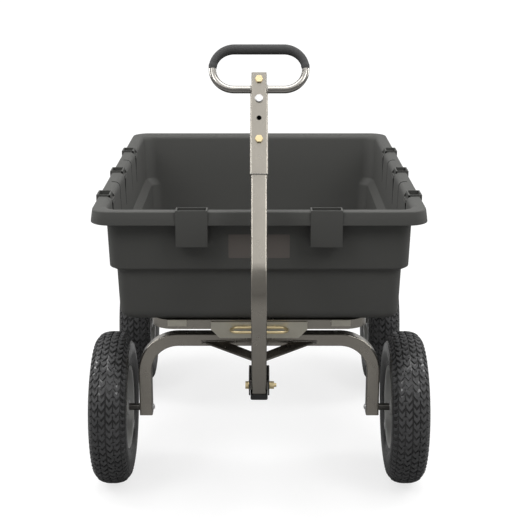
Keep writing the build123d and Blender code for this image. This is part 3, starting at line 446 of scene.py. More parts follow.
class NodeTree:
    """A geometry node tree with named inputs, built link by link."""

    def __init__(self, name: str) -> None:
        """Start a tree that takes and gives geometry.

        Args:
            name: The tree's name.
        """
        self.tree = bpy.data.node_groups.new(name, "GeometryNodeTree")
        self.tree.interface.new_socket("Geometry", in_out="INPUT", socket_type="NodeSocketGeometry")
        self.tree.interface.new_socket("Geometry", in_out="OUTPUT", socket_type="NodeSocketGeometry")
        self.source = self.tree.nodes.new("NodeGroupInput")
        self.result = self.tree.nodes.new("NodeGroupOutput")

    def size(self, name: str, kind: str, default: object) -> None:
        """Add a named input.

        Args:
            name: The input's name.
            kind: Its socket type.
            default: Its default, or None.
        """
        socket = self.tree.interface.new_socket(name, in_out="INPUT", socket_type=kind)
        if default is not None:
            socket.default_value = default

    def add(self, kind: str, links: dict[str | int, object], **settings: object) -> bpy.types.Node:
        """Add a node.

        Args:
            kind: The node's type.
            links: Values or outputs, by socket.
            settings: Attributes of the node.

        Returns:
            The node.
        """
        node = self.tree.nodes.new(kind)
        for name, value in settings.items():
            setattr(node, name, value)
        for socket, value in links.items():
            if isinstance(value, Socket):
                self.tree.links.new(value, node.inputs[socket])
            else:
                node.inputs[socket].default_value = value
        return node

    def finish(self, geometry: Socket) -> None:
        """Realise the instances, set the material and close the tree.

        Args:
            geometry: The geometry to end with.
        """
        real = self.add("GeometryNodeRealizeInstances", {"Geometry": geometry})
        finish = self.source.outputs["Finish"]
        painted = self.add("GeometryNodeSetMaterial", {"Geometry": real.outputs[0], "Material": finish})
        self.tree.links.new(painted.outputs[0], self.result.inputs[0])

    def apply(self, piece: Piece, **values: object) -> Piece:
        """Run the tree on a piece and keep the result as a plain mesh.

        Args:
            piece: The piece the tree works on.
            values: Inputs by name, with _ for a space.

        Returns:
            The piece.
        """
        modifier = piece.modifiers.new(self.tree.name, "NODES")
        modifier.node_group = self.tree
        for item in self.tree.interface.items_tree:
            key = item.name.replace(" ", "_")
            if item.in_out == "INPUT" and key in values:
                modifier[item.identifier] = values[key]
        return settle(piece)


def turned_copies_tree() -> NodeTree:
    """A tree that turns copies of a mesh round the X axis.

    Returns:
        The tree, with inputs Count and Finish.
    """
    tree = NodeTree("turned_copies")
    tree.size("Count", "NodeSocketInt", 8)
    tree.size("Finish", "NodeSocketMaterial", None)
    count = tree.source.outputs["Count"]
    line = tree.add("GeometryNodeMeshLine", {"Count": count, "Offset": (0.0, 0.0, 0.0)})
    index = tree.add("GeometryNodeInputIndex", {})
    share = tree.add("ShaderNodeMath", {0: index.outputs[0], 1: count}, operation="DIVIDE")
    angle = tree.add("ShaderNodeMath", {0: share.outputs[0], 1: math.tau}, operation="MULTIPLY")
    turn = tree.add("ShaderNodeCombineXYZ", {"X": angle.outputs[0]})
    copies = tree.add(
        "GeometryNodeInstanceOnPoints",
        {"Points": line.outputs[0], "Instance": tree.source.outputs["Geometry"], "Rotation": turn.outputs[0]},
    )
    tree.finish(copies.outputs[0])
    return tree


def weld_bead_tree() -> NodeTree:
    """A tree that lays overlapping drops along edges.

    Returns:
        The tree, with inputs Bead, Pitch and Finish.
    """
    tree = NodeTree("weld_bead")
    tree.size("Bead", "NodeSocketFloat", 0.0025)
    tree.size("Pitch", "NodeSocketFloat", 0.0025)
    tree.size("Finish", "NodeSocketMaterial", None)
    curve = tree.add("GeometryNodeMeshToCurve", {"Mesh": tree.source.outputs["Geometry"]})
    pitch = tree.source.outputs["Pitch"]
    run = {"Curve": curve.outputs[0], "Length": pitch}
    spaced = tree.add("GeometryNodeResampleCurve", run, mode="LENGTH")
    drop = tree.add("GeometryNodeMeshIcoSphere", {"Radius": tree.source.outputs["Bead"], "Subdivisions": 2})
    uneven = tree.add("FunctionNodeRandomValue", {2: 0.85, 3: 1.12, "Seed": 7}, data_type="FLOAT")
    drops = tree.add(
        "GeometryNodeInstanceOnPoints",
        {"Points": spaced.outputs[0], "Instance": drop.outputs[0], "Scale": uneven.outputs[1]},
    )
    tree.finish(drops.outputs[0])
    return tree


TURNED_COPIES = turned_copies_tree()
WELD_BEAD = weld_bead_tree()


def lines_piece(name: str, lines: list[list[Point]]) -> Piece:
    """An object of bare edges for a tree to follow.

    Args:
        name: The object's name.
        lines: Runs of points.

    Returns:
        The object.
    """
    work = bmesh.new()
    for line in lines:
        spots = [work.verts.new(point) for point in line]
        for first, second in zip(spots, spots[1:]):
            work.edges.new((first, second))
    mesh = bpy.data.meshes.new(name)
    work.to_mesh(mesh)
    work.free()
    piece = bpy.data.objects.new(name, mesh)
    bpy.context.scene.collection.objects.link(piece)
    return piece


@dataclass
class Welds:
    """Weld beads on one body."""

    name: str
    body: str
    lines: list[list[Point]]
    bead: float = 2.4 * MM

    def build(self) -> Piece:
        """Lay the beads.

        Returns:
            The piece.
        """
        piece = lines_piece(self.name, self.lines)
        finish = WELD_METAL.material()
        WELD_BEAD.apply(piece, Bead=self.bead, Pitch=self.bead * 0.9, Finish=finish)
        mark_sharp(piece.data, 60)
        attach(piece, self.body)
        return piece


# ---- wheels ----


@dataclass
class Wheel:
    """One wheel: a treaded tyre over the frame's rim, tube and bearings."""

    axle: str
    side: Side
    tread_rows: int = 32
    tread_radius: float = 205.0 * MM
    tread_height: float = 4.4 * MM
    lug_root: float = 0.8 * MM
    turns: int = 128

    @property
    def name(self) -> str:
        """The wheel's place, as its nodes spell it."""
        return f"{self.axle}_{self.side.name.lower()}"

    @property
    def centre(self) -> Vector:
        """The middle of the wheel."""
        low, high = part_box(f"tyre_{self.name}")
        return (low + high) / 2

    def half_profile(self) -> list[Flat]:
        """Outer skin of the carcass from the middle of the tread to the bead.

        Returns:
            (across, radius) points in metres.
        """
        points = [
            (0.0, 203.0), (13.0, 202.4), (24.0, 200.0), (33.0, 195.6), (40.0, 189.4), (45.4, 181.0),
            (48.8, 171.0), (50.2, 159.5), (49.6, 148.0), (47.0, 135.0), (43.0, 124.5), (39.6, 118.5),
        ]
        line = smooth_line(points, 4)
        bead = [(39.2, 117.6), (39.9, 116.6), (39.6, 115.2), (37.6, 114.2), (36.6, 112.0), (36.0, 106.0)]
        return [(u * MM, v * MM) for u, v in line + bead]

    def rib(self, radius: float) -> float:
        """How far the moulded rings stand out of the sidewall at a radius, in metres."""
        rings = ((176.0, 1.1, 1.8), (168.5, 0.6, 0.9), (129.0, 0.8, 1.6), (123.0, 0.7, 1.0))
        return sum(height * MM * math.exp(-(((radius / MM - at) / wide) ** 2)) for at, height, wide in rings)

    def carcass(self) -> Work:
        """The tyre's body, turned round the X axis.

        Returns:
            The closed mesh, centred on the origin.
        """
        half = self.half_profile()
        fine: list[Flat] = []
        for (u0, v0), (u1, v1) in zip(half, half[1:]):
            pieces = 4 if 120 * MM < v0 < 182 * MM else 1
            for step in range(pieces):
                t = step / pieces
                fine.append((u0 + (u1 - u0) * t + self.rib(v0 + (v1 - v0) * t), v0 + (v1 - v0) * t))
        fine.append(half[-1])
        inside = [
            (29.5, 106.0), (35.0, 122.0), (44.0, 148.0), (45.0, 168.0), (40.0, 188.0),
            (30.0, 195.5), (14.0, 198.4),
        ]
        inner = [(u * MM, v * MM) for u, v in smooth_line(inside, 2)]
        right = fine + inner
        left = [(-u, v) for u, v in reversed(right) if u > 0]
        loop = right + [(0.0, 198.7 * MM)] + left
        work = bmesh.new()
        rings = []
        for turn in range(self.turns):
            angle = math.tau * turn / self.turns
            rings.append([work.verts.new((u, v * math.sin(angle), v * math.cos(angle))) for u, v in loop])
        bridge(work, rings, closed=True)
        bmesh.ops.recalc_face_normals(work, faces=work.faces)
        return work

    def skin(self, across: float) -> tuple[Vector, Vector]:
        """A point on the carcass and the way out of it.

        Args:
            across: Distance along the skin from the middle of the tread, in metres, signed.

        Returns:
            The (across, radius) point and its outward normal.
        """
        line = self.half_profile()
        left = abs(across)
        sign = -1.0 if across < 0 else 1.0
        for (u0, v0), (u1, v1) in zip(line, line[1:]):
            length = math.hypot(u1 - u0, v1 - v0)
            if left <= length:
                t = left / length
                spot = Vector((sign * (u0 + (u1 - u0) * t), v0 + (v1 - v0) * t))
                normal = Vector((sign * -(v1 - v0), u1 - u0)).normalized()
                return spot, normal
            left -= length
        raise ValueError("past the bead")

    def add_lug(self, work: Work, line: list[Flat], thick: float, height: float) -> None:
        """Add one tread lug along a zigzag.

        Args:
            work: The mesh to add to.
            line: (across, around) points of its middle line, in metres.
            thick: Its width round the tyre.
            height: Its height above the carcass.
        """
        rings = []
        for across, around in line:
            spot, normal = self.skin(across)
            ring = []
            for lift, wide in ((-self.lug_root, 1.16), (height * 0.84, 1.02), (height, 0.90)):
                for sign in (-1, 1):
                    at = spot + normal * lift
                    angle = (around + sign * thick * wide / 2) / self.tread_radius
                    ring.append(work.verts.new((at.x, at.y * math.sin(angle), at.y * math.cos(angle))))
            rings.append([ring[0], ring[2], ring[4], ring[5], ring[3], ring[1]])
        bridge(work, rings, closed=False)
        cap(work, rings)

    def tread_unit(self) -> Work:
        """Two rows of lugs, which repeat round the tyre.

        Returns:
            The lugs' mesh, at the top of the tyre.
        """
        work = bmesh.new()
        pitch = math.tau * self.tread_radius / self.tread_rows / 2
        zig = 0.24 * pitch
        inner = (((1.8, 1.0), (9.5, -1.0), (17.0, 1.0)), 0.56, 1.0)
        outer = (((20.0, 1.0), (27.5, -1.0), (35.0, 1.0)), 0.54, 0.97)
        shoulder = (((38.0, 0.6), (45.0, -0.7), (53.0, -0.7)), 0.40, 0.62)
        for row in range(2):
            for sign in (-1, 1):
                offset = row * pitch + (0.5 * pitch if sign > 0 else 0.0)
                for corners, thick, height in (inner, outer, shoulder):
                    line = [(sign * across * MM, offset + zig * swing) for across, swing in corners]
                    self.add_lug(work, line, thick * pitch, self.tread_height * height)
                if row == 0:
                    bar = [(sign * across * MM, offset + 0.5 * pitch) for across in (11.5, 25.0)]
                    self.add_lug(work, bar, 0.34 * pitch, self.tread_height * 0.75)
        bmesh.ops.recalc_face_normals(work, faces=work.faces)
        return work

    def build(self) -> Piece:
        """Build the tyre and dress the rest of the wheel.

        Returns:
            The tyre.
        """
        tread = new_piece(f"tread_{self.name}", self.tread_unit(), TREAD_RUBBER, 30)
        TURNED_COPIES.apply(tread, Count=self.tread_rows, Finish=TREAD_RUBBER.material())
        carcass = new_piece(f"carcass_{self.name}", self.carcass(), SIDEWALL_RUBBER, 40)
        place = Matrix.Translation(self.centre)
        for piece in (tread, carcass):
            piece.data.transform(place)
            mark_sharp(piece.data, 30 if piece is tread else 40)
            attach(piece, f"wheel_{self.name}")
        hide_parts(f"tyre_{self.name}")
        dress(TUBE_RUBBER, f"inner_tube_{self.name}")
        dress(RIM_PAINT, f"rim_{self.name}")
        dress(BEARING_STEEL, f"bearings_{self.name}")
        return carcass


# ---- tub ----


@dataclass
class Pocket:
    """One stake pocket, as its hole and its way inwards."""

    x: float
    y: float
    half_x: float
    half_y: float
    inward: Flat
    bottom: float


RIM_TOP = 795.0
WALL_TOP_INSET = 34.8
LEDGE_TOP = (39.5, 651.0)
FRONT_POCKETS_X = (-169.0, 169.0)
SIDE_POCKETS_Y = (-263.8, 38.2, 340.2)
PROFILE_STEPS = 6


@dataclass
class Tub:
    """The moulded tub with its rolled rim, stake pockets and grooves.

    Its profile is in millimetres in from the rim and above the floor. The constants above are in
    millimetres too.
    """

    half_x: float = 421.2 * MM
    front: float = -459.4 * MM
    length: float = 1107.8 * MM
    corner_steps: int = 12
    pocket_wall: float = 4.0 * MM
    pocket_top: float = 799.0 * MM

    def outer_points(self) -> list[tuple[float, float, float]]:
        """Skin of the side walls, from under the floor round the rim to the top of the floor.

        Returns:
            (inset, height, radius) corners in millimetres.
        """
        return [
            (118.0, 489.0, 0.0), (57.0, 489.0, 30.0), (52.2, 624.0, 3.0), (35.4, 636.0, 4.0),
            (30.6, 780.0, 7.0), (20.0, 790.2, 6.0), (4.4, 789.6, 3.0), (-1.8, 760.0, 1.0),
            (-5.8, 760.0, 1.4), (-3.6, 777.0, 3.0),
            (-0.8, RIM_TOP, 4.5), (WALL_TOP_INSET, RIM_TOP, 17.0), (*LEDGE_TOP, 2.0), (57.0, 627.5, 2.5),
            (61.8, 493.5, 26.0), (118.0, 493.5, 0.0),
        ]

    def profile(self) -> tuple[list[Flat], int]:
        """The side walls' rounded (inset, height) profile, and the number of its highest point."""
        line = round_corners(self.outer_points(), PROFILE_STEPS)
        return line, max(range(len(line)), key=lambda i: line[i][1])

    def rear_inset(self, inset: float, height: float, inner: bool) -> float:
        """The rear wall's inset, which has no step.

        Args:
            inset: The side wall's inset in millimetres.
            height: Millimetres above the floor.
            inner: Whether the point is on the inner skin.

        Returns:
            Millimetres in from the rim.
        """
        rim_from, floor_to, floor_shift = 775.0, 525.0, 15.2
        top_inset, slope, thickness = 30.0, 0.0385, 4.6
        if height >= rim_from:
            return inset
        if height <= floor_to:
            return inset - floor_shift
        return top_inset + (RIM_TOP - height) * slope + (thickness if inner else 0.0)

    def corner_radius(self, inset: float) -> float:
        """Plan corner radius at an inset.

        Args:
            inset: Millimetres in from the rim.

        Returns:
            Radius in millimetres.
        """
        known = (
            (-7.0, 54.0), (0.0, 49.0), (30.0, 42.0), (36.0, 39.0), (52.0, 37.0), (62.0, 34.0), (118.0, 14.0),
        )
        for (i0, r0), (i1, r1) in zip(known, known[1:]):
            if inset <= i1:
                return r0 + (r1 - r0) * max(0.0, inset - i0) / (i1 - i0)
        return known[-1][1]

    def ring(self, work: Work, inset: float, height: float, inner: bool) -> Ring:
        """One rounded rectangle of the tub.

        Args:
            work: The mesh to add to.
            inset: Millimetres in from the rim.
            height: Millimetres above the floor.
            inner: Whether the ring is on the inner skin.

        Returns:
            The ring's vertices.
        """
        radius = self.corner_radius(inset) * MM
        half_x = self.half_x - inset * MM - radius
        start = self.front + inset * MM
        end = self.front + self.length - self.rear_inset(inset, height, inner) * MM
        half_y, middle = (end - start) / 2 - radius, (start + end) / 2
        spots = []
        for quarter, (sx, sy) in enumerate(((1, 1), (-1, 1), (-1, -1), (1, -1))):
            for step in range(self.corner_steps + 1):
                angle = math.pi / 2 * (quarter + step / self.corner_steps)
                x = sx * half_x + radius * math.cos(angle)
                y = middle + sy * half_y + radius * math.sin(angle)
                spots.append(work.verts.new((x, y, height * MM)))
        return spots

    def shell(self) -> Piece:
        """The plain shell.

        Returns:
            The closed shell.
        """
        work = bmesh.new()
        line, crest = self.profile()
        rings = [self.ring(work, u, v, i > crest) for i, (u, v) in enumerate(line)]
        bridge(work, rings, closed=False)
        work.faces.new(list(reversed(rings[0])))
        work.faces.new(rings[-1])
        bmesh.ops.recalc_face_normals(work, faces=work.faces)
        return new_piece("tub_body", work, TUB_PLASTIC, 28)

    def pockets(self) -> list[Pocket]:
        """The eight stake pockets.

        Returns:
            The pockets.
        """
        front_y, side_x = self.front + 11 * MM, 410 * MM
        found = [Pocket(x * MM, front_y, 36 * MM, 15 * MM, (0, 1), 705 * MM) for x in FRONT_POCKETS_X]
        for sign in (-1, 1):
            for y in SIDE_POCKETS_Y:
                found.append(Pocket(sign * side_x, y * MM, 14 * MM, 25 * MM, (-sign, 0), 738 * MM))
        return found

    def pocket_blocks(self, name: str, grow: float, past: float, bevel: float = 0.0) -> Piece:
        """Make one block round or through each pocket.

        Args:
            name: The blocks' name.
            grow: Metres past the pocket's hole on each side.
            past: Metres past its two ends.
            bevel: Width of the softened edges.

        Returns:
            The blocks.
        """
        work = bmesh.new()
        for p in self.pockets():
            low = (p.x - p.half_x - grow, p.y - p.half_y - grow, p.bottom - past)
            high = (p.x + p.half_x + grow, p.y + p.half_y + grow, self.pocket_top + past)
            add_block(work, low, high, bevel)
        return new_piece(name, work, TUB_PLASTIC)

    def roots(self) -> Piece:
        """Webs that tie the chutes to the wall under the rim.

        Returns:
            The webs.
        """
        work = bmesh.new()
        skirt, reach, lift, top = self.pocket_wall * 0.8, 8.5 * MM, 0.7 * MM, 776.3 * MM
        for p in self.pockets():
            ix, iy = p.inward
            x0, x1 = p.x - p.half_x - skirt, p.x + p.half_x + skirt
            y0, y1 = p.y - p.half_y - skirt, p.y + p.half_y + skirt
            x0, x1 = x0 + min(0, ix) * reach, x1 + max(0, ix) * reach
            y0, y1 = y0 + min(0, iy) * reach, y1 + max(0, iy) * reach
            add_block(work, (x0, y0, p.bottom + lift), (x1, y1, top))
        return new_piece("roots", work, TUB_PLASTIC)

    def notches(self) -> Piece:
        """Cutters for the notches in the rolled edge beside the side pockets.

        Returns:
            The cutters.
        """
        work = bmesh.new()
        length, past, low_z, high_z = 16 * MM, 1.5 * MM, 783 * MM, 806 * MM
        for p in self.pockets():
            if p.inward[0]:
                edge = p.x + p.inward[0] * (p.half_x + self.pocket_wall)
                far = edge + p.inward[0] * length
                low = (min(edge, far), p.y - p.half_y - past, low_z)
                high = (max(edge, far), p.y + p.half_y + past, high_z)
                add_block(work, low, high)
        return new_piece("notches", work, TUB_PLASTIC)

    def inner_line(self, start: float, low: float) -> list[Flat]:
        """The rim's top and inner wall as a line.

        Args:
            start: Inset on the rim's top where it starts, in millimetres.
            low: Height where it ends, in millimetres.

        Returns:
            (inset, height) points in millimetres.
        """
        line, crest = self.profile()
        curl_low = 776
        chosen = [(start, RIM_TOP)] + [(u, v) for u, v in line[crest:] if v > curl_low and u > start]
        slope = (LEDGE_TOP[0] - WALL_TOP_INSET) / (LEDGE_TOP[1] - RIM_TOP)
        chosen.append((WALL_TOP_INSET + slope * (low - RIM_TOP), low))
        return chosen

    def groove_places(self) -> list[tuple[float, float, float, float, float]]:
        """Each divider groove and pocket slot's y, half width, depth, first inset and lowest height."""
        dividers = [(y, 3.0, 4.1, 12.0, 700.0) for y in (-112.0, 190.0)]
        return dividers + [(y - 27.0, 5.0, 4.2, 24.0, 700.0) for y in SIDE_POCKETS_Y]

    def paint_shade_in_gaps(self, body: Piece) -> None:
        """Paint shade into the insides of the grooves with a near-black material, and give all else the
        plastic.

        Args:
            body: The finished tub.
        """
        mesh = body.data
        mesh.materials.clear()
        mesh.materials.append(TUB_PLASTIC.material())
        mesh.materials.append(PAINTED_GAP_SHADE.material())
        slack, tilt, band, lowest, largest = 0.05, 0.02, 44 * MM, 698 * MM, 0.0004
        edges = [(y * MM, (half + slack) * MM) for y, half, _, _, _ in self.groove_places()]
        for face in mesh.polygons:
            spot = face.center
            along = any(abs(spot.y - y) < half for y, half in edges)
            walls = abs(abs(face.normal.y) - 1.0) < tilt
            deep = abs(spot.x) > self.half_x - band and spot.z > lowest
            # Painted shade: the groove walls facing front and back take the near-black material.
            face.material_index = 1 if along and walls and deep and face.area < largest else 0

    def grooves(self) -> Piece:
        """Cutters for the divider grooves and the slots beside the side pockets.

        Returns:
            The cutters.
        """
        work = bmesh.new()
        proud = 4.0
        for y, half, deep, start, low in self.groove_places():
            line = self.inner_line(start, low)
            for sign in (-1, 1):
                rings = []
                for i, (inset, height) in enumerate(line):
                    before, after = line[max(0, i - 1)], line[min(len(line) - 1, i + 1)]
                    along = Vector((after[0] - before[0], after[1] - before[1])).normalized()
                    out = Vector((-along.y, along.x))
                    taper = 0.45 if i == len(line) - 1 else 1.0
                    ring = []
                    for lift, wide in ((-deep, 1), (-deep, -1), (proud, -1), (proud, 1)):
                        u, v = inset + out.x * lift, height + out.y * lift
                        x = sign * (self.half_x - u * MM)
                        ring.append(work.verts.new((x, (y + wide * half * taper) * MM, v * MM)))
                    rings.append(ring)
                bridge(work, rings, closed=False)
                cap(work, rings)
        bmesh.ops.recalc_face_normals(work, faces=work.faces)
        return new_piece("grooves", work, TUB_PLASTIC)

    def build(self) -> Piece:
        """Build the tub and let it stand for the frame's plain one.

        Returns:
            The tub.
        """
        body = self.shell()
        carve(body, self.roots(), "UNION")
        carve(body, self.notches(), "DIFFERENCE")
        carve(body, self.pocket_blocks("chutes", self.pocket_wall, 0.0, 1.1 * MM), "UNION")
        carve(body, self.pocket_blocks("holes", 0.0, 5 * MM), "DIFFERENCE")
        carve(body, self.grooves(), "DIFFERENCE")
        # Paint shade into the grooves so that they read as dark slots.
        self.paint_shade_in_gaps(body)
        mark_sharp(body.data, 28)
        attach(body, "tub")
        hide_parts("tub")
        dress(LABEL_FILM, "blank_label")
        dress(BRIGHT_ZINC, "tub_bolts", "tub_nuts")
        dress(POWDER_COAT, "tub_frame_ring", "tub_frame_cross_members", "tub_hinge_lugs")
        return body


@dataclass
class FrameTabs:
    """Small plates on the front of the tub's frame."""

    inner: float = 189.0 * MM
    outer: float = 239.0 * MM
    front: float = -401.6 * MM
    back: float = -398.6 * MM
    low: float = 472.5 * MM
    high: float = 489.5 * MM

    def build(self) -> Piece:
        """Weld the plates on.

        Returns:
            The plates.
        """
        work = bmesh.new()
        for sign in (-1, 1):
            near, far = sorted((sign * self.inner, sign * self.outer))
            add_block(work, (near, self.front, self.low), (far, self.back, self.high), 0.8 * MM)
        piece = new_piece("frame_tabs", work, PLATE_COAT)
        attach(piece, "tub")
        return piece


# ---- running gear ----


@dataclass
class RunningGear:
    """Chassis, axles, steering and the dump latch."""

    brace_outer: float = 152.0 * MM
    brace_inner: float = 92.0 * MM
    arch_front: float = -328.3 * MM
    brace_height: float = 405.0 * MM
    brace_deep: float = 7.0 * MM

    def build(self) -> list[Piece]:
        """Dress the running gear and add its welds.

        Returns:
            The added pieces.
        """
        dress(POWDER_COAT, "chassis_rails", "chassis_cross_tie", "kingpin_plate")
        dress(POWDER_COAT, "rear_axle_arch", "rear_axle_saddles")
        dress(POWDER_COAT, "front_axle_arch", "kingpin_bush", "steering_tongue", "tongue_braces")
        dress(PLATE_COAT, "chassis_front_plate")
        dress(BLACK_COAT, "clevis_bracket")
        dress(YELLOW_ZINC, "release_rod", "handle_pivot_bolt", "handle_pivot_nut")
        dress(BRIGHT_ZINC, "kingpin_bolt", "kingpin_nut", "tub_hinge_pin", "release_spring")
        dress(NYLON, "pivot_washers", "thrust_washer")
        dress(GRIP_RUBBER, "tub_rest_pads")
        for axle in ("front", "rear"):
            dress(BRIGHT_ZINC, f"{axle}_wheel_bolts", f"{axle}_wheel_nuts")
            dress(AXLE_STEEL, f"{axle}_wheel_spacers")
        y, z = self.arch_front - 1 * MM, self.brace_height
        low = z - self.brace_deep
        lines: list[list[Point]] = []
        for sign in (-1, 1):
            outer, inner = sign * self.brace_outer, sign * self.brace_inner
            lines.append([(outer + sign * 1.5 * MM, y, z - 1 * MM), (inner, y, z + 0.5 * MM)])
            lines.append([(outer, y, low), (inner, y, low)])
        return [Welds("steering_welds", "steering", lines).build()]


@dataclass
class Handle:
    """Pull handle: tube, sleeve, stub, grip loop and its rubber cover."""

    apex: Point = (0.0, -660.34 * MM, 627.71 * MM)
    up: Point = (0.0, 0.529919, 0.848048)
    ahead: Point = (0.0, -0.848048, 0.529919)
    sleeve_from: float = 312.0 * MM
    loop_low: float = 541.5 * MM
    loop_high: float = 651.0 * MM
    half_straight: float = 62.0 * MM
    loop_radius: float = 10.2 * MM
    stub_half: float = 19.6 * MM
    sleeve_half: float = 20.0 * MM
    steps: int = 24

    def spot(self, x: float, station: float, forward: float) -> Point:
        """A point to the right of the upper run's axis, up it from the bend and in front of it."""
        place = Vector(self.apex) + Vector(self.up) * station + Vector(self.ahead) * forward
        return (x, place.y, place.z)

    def build(self) -> list[Piece]:
        """Dress the handle and add its welds.

        Returns:
            The added pieces.
        """
        dress(POWDER_COAT, "handle_tube", "handle_sleeve", "grip_stub")
        dress(DRAWN_STEEL, "grip_loop")
        dress(CAP_PLASTIC, "handle_end_cap")
        dress(YELLOW_ZINC, "handle_bolts", "handle_nuts")
        dress(BRIGHT_ZINC, "hitch_pin")
        rings = []
        for sign in (-1, 1):
            ring = []
            for step in range(self.steps + 1):
                angle = math.tau * step / self.steps
                station = self.loop_low + self.loop_radius * math.cos(angle)
                ring.append(self.spot(sign * self.stub_half, station, self.loop_radius * math.sin(angle)))
            rings.append(ring)
        welds = Welds("grip_welds", "handle", rings, bead=2.6 * MM).build()
        half, low = self.sleeve_half, self.sleeve_from - 0.6 * MM
        corners = [(-half, half), (half, half), (half, -half), (-half, -half), (-half, half)]
        seam = [self.spot(u, low, v) for u, v in corners]
        edge = Welds("sleeve_weld", "handle", [seam], bead=1.7 * MM).build()
        return [welds, edge, self.cover()]

    def cover(self) -> Piece:
        """Mould the rubber cover, thick over the palm and thin at its ends.

        Returns:
            The cover.
        """
        bend = (self.loop_high - self.loop_low) / 2
        middle = (self.loop_high + self.loop_low) / 2
        straight_steps, turns, thin, swell = 12, 28, 10.2, 2.6
        path: list[Point] = []
        for step in range(self.steps + 1):
            share = step / self.steps
            angle = math.pi - share * math.pi / 2
            x = -self.half_straight + bend * math.cos(angle)
            path.append((x, middle + bend * math.sin(angle), share))
        for step in range(1, straight_steps):
            x = -self.half_straight + step / straight_steps * 2 * self.half_straight
            path.append((x, self.loop_high, 1.0))
        path += [(-x, station, share) for x, station, share in reversed(path[: self.steps + 1])]
        work = bmesh.new()
        lips = {0: 9.45, 1: 9.9, 2: 10.6, 3: 10.9, 4: 10.3}
        rings = []
        for i, (x, station, share) in enumerate(path):
            before, after = path[max(0, i - 1)], path[min(len(path) - 1, i + 1)]
            along = Vector((after[0] - before[0], after[1] - before[1])).normalized()
            ease = share * share * (3 - 2 * share)
            end = min(i, len(path) - 1 - i)
            radius = lips.get(end, thin + swell * ease) * MM
            ring = []
            for turn in range(turns):
                angle = math.tau * turn / turns
                across, ahead = radius * math.cos(angle), radius * math.sin(angle)
                spot = self.spot(x - along.y * across, station + along.x * across, ahead)
                ring.append(work.verts.new(spot))
            rings.append(ring)
        bridge(work, rings, closed=False)
        cap(work, rings)
        bmesh.ops.recalc_face_normals(work, faces=work.faces)
        piece = new_piece("grip_skin", work, GRIP_RUBBER, 40)
        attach(piece, "handle")
        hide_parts("grip_cover")
        return piece


# ---- studio ----


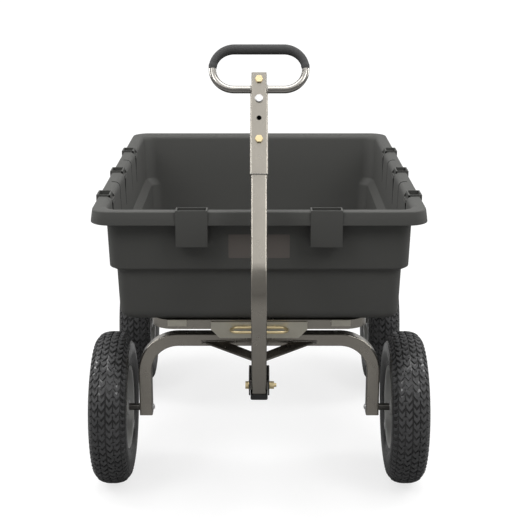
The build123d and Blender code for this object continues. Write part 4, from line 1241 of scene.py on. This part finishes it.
@dataclass
class Studio:
    """Pale floor, soft lights and the camera."""

    eye: Point = (0.0048, -3.3646, 1.512)
    pitch: float = 0.283
    lens: float = 82.76
    bounce: float = 0.30
    lift: float = 0.66
    sky_front: float = 0.30
    sky_back: float = 0.75
    glow: float = 1.1
    fade: Flat = (1.0, 2.8)

    def floor(self) -> None:
        """Lay the pale floor, which lights the cart's underside only weakly."""
        shader = Shader("pale_floor")
        shader.put(shader.surface, "Roughness", 0.7)
        shader.put(shader.surface, "Base Color", (0.9, 0.9, 0.9, 1.0))
        seen = shader.add("ShaderNodeLightPath").outputs["Is Camera Ray"]
        glow = shader.add("ShaderNodeEmission", Color=(1.0, 1.0, 1.0, 1.0), Strength=self.glow)
        dull = shader.add("ShaderNodeBsdfDiffuse", Color=(self.bounce, self.bounce, self.bounce, 1.0))
        reach = shader.add("ShaderNodeVectorMath", Vector=shader.place)
        reach.operation = "LENGTH"
        fade = shader.span(reach.outputs["Value"], self.lift, 1.0, *self.fade)
        lifted = shader.add("ShaderNodeMixShader", Fac=fade)
        whole = shader.add("ShaderNodeMixShader", Fac=seen)
        links = shader.tree.links
        links.new(shader.surface.outputs[0], lifted.inputs[1])
        links.new(glow.outputs[0], lifted.inputs[2])
        links.new(dull.outputs[0], whole.inputs[1])
        links.new(lifted.outputs[0], whole.inputs[2])
        links.new(whole.outputs[0], shader.tree.nodes["Material Output"].inputs[0])
        work = bmesh.new()
        bmesh.ops.create_circle(work, cap_ends=True, segments=96, radius=14.0)
        piece = new_piece("floor", work, TUBE_RUBBER)
        piece.data.materials[0] = shader.material

    def sky(self) -> None:
        """Pale walls all round, dimmer towards the camera."""
        world = bpy.data.worlds.new("studio")
        bpy.context.scene.world = world
        world.use_nodes = True
        tree = world.node_tree
        background = tree.nodes["Background"]
        place = tree.nodes.new("ShaderNodeTexCoord").outputs["Generated"]
        split = tree.nodes.new("ShaderNodeSeparateXYZ")
        tree.links.new(place, split.inputs[0])
        depth = tree.nodes.new("ShaderNodeMapRange")
        tree.links.new(split.outputs["Y"], depth.inputs["Value"])
        ends = {"From Min": -0.9, "From Max": 0.3, "To Min": self.sky_front, "To Max": self.sky_back}
        for name, value in ends.items():
            depth.inputs[name].default_value = value
        seen = tree.nodes.new("ShaderNodeLightPath").outputs["Is Camera Ray"]
        mix = tree.nodes.new("ShaderNodeMix")
        tree.links.new(seen, mix.inputs[0])
        tree.links.new(depth.outputs[0], mix.inputs[2])
        mix.inputs[3].default_value = self.glow
        tree.links.new(mix.outputs[0], background.inputs["Strength"])
        background.inputs["Color"].default_value = (1.0, 1.0, 1.0, 1.0)

    def lamp(self, name: str, place: Point, aim: Point, size: Flat, power: float) -> None:
        """Hang one softbox.

        Args:
            name: The lamp's name.
            place: Where it hangs.
            aim: What it faces.
            size: Its width and height.
            power: Watts.
        """
        light = bpy.data.lights.new(name, "AREA")
        light.shape = "RECTANGLE"
        light.size, light.size_y = size
        light.energy = power
        lamp = bpy.data.objects.new(name, light)
        lamp.location = place
        lamp.rotation_euler = (Vector(aim) - Vector(place)).to_track_quat("-Z", "Y").to_euler()
        bpy.context.scene.collection.objects.link(lamp)

    def build(self) -> None:
        """Set up the studio."""
        self.floor()
        self.sky()
        self.lamp("front_box", (0.0, -2.5, 3.5), (0.0, 0.2, 0.6), (2.6, 1.8), 16.0)
        for name, sign in (("left", -1), ("right", 1)):
            self.lamp(f"{name}_front_box", (sign * 2.1, -2.4, 3.1), (0.0, 0.2, 0.6), (1.2, 1.6), 34.0)
        self.lamp("top_box", (0.0, -0.2, 3.4), (0.0, 0.1, 0.4), (2.6, 1.6), 60.0)
        for name, sign in (("left", -1), ("right", 1)):
            self.lamp(f"{name}_strip", (sign * 2.4, 0.5, 1.9), (0.0, 0.3, 0.7), (0.6, 2.0), 30.0)
        camera = bpy.data.cameras.new("camera")
        camera.lens = self.lens
        camera.sensor_width = 36.0
        camera.clip_end = 60.0
        view = bpy.data.objects.new("camera", camera)
        view.location = self.eye
        view.rotation_euler = (math.pi / 2 - self.pitch, 0.0, 0.0)
        bpy.context.scene.collection.objects.link(view)
        bpy.context.scene.camera = view
        bpy.context.scene.view_settings.view_transform = "Standard"


def main() -> None:
    """Build the cart round its frame."""
    logging.basicConfig(level=logging.INFO, format="%(message)s")
    for axle in ("front", "rear"):
        for side in Side:
            LOG.info("built %s", Wheel(axle, side).build().name)
    LOG.info("built %s", Tub().build().name)
    LOG.info("built %s", FrameTabs().build().name)
    for piece in RunningGear().build() + Handle().build():
        LOG.info("built %s", piece.name)
    Studio().build()


if __name__ == "__main__":
    main()
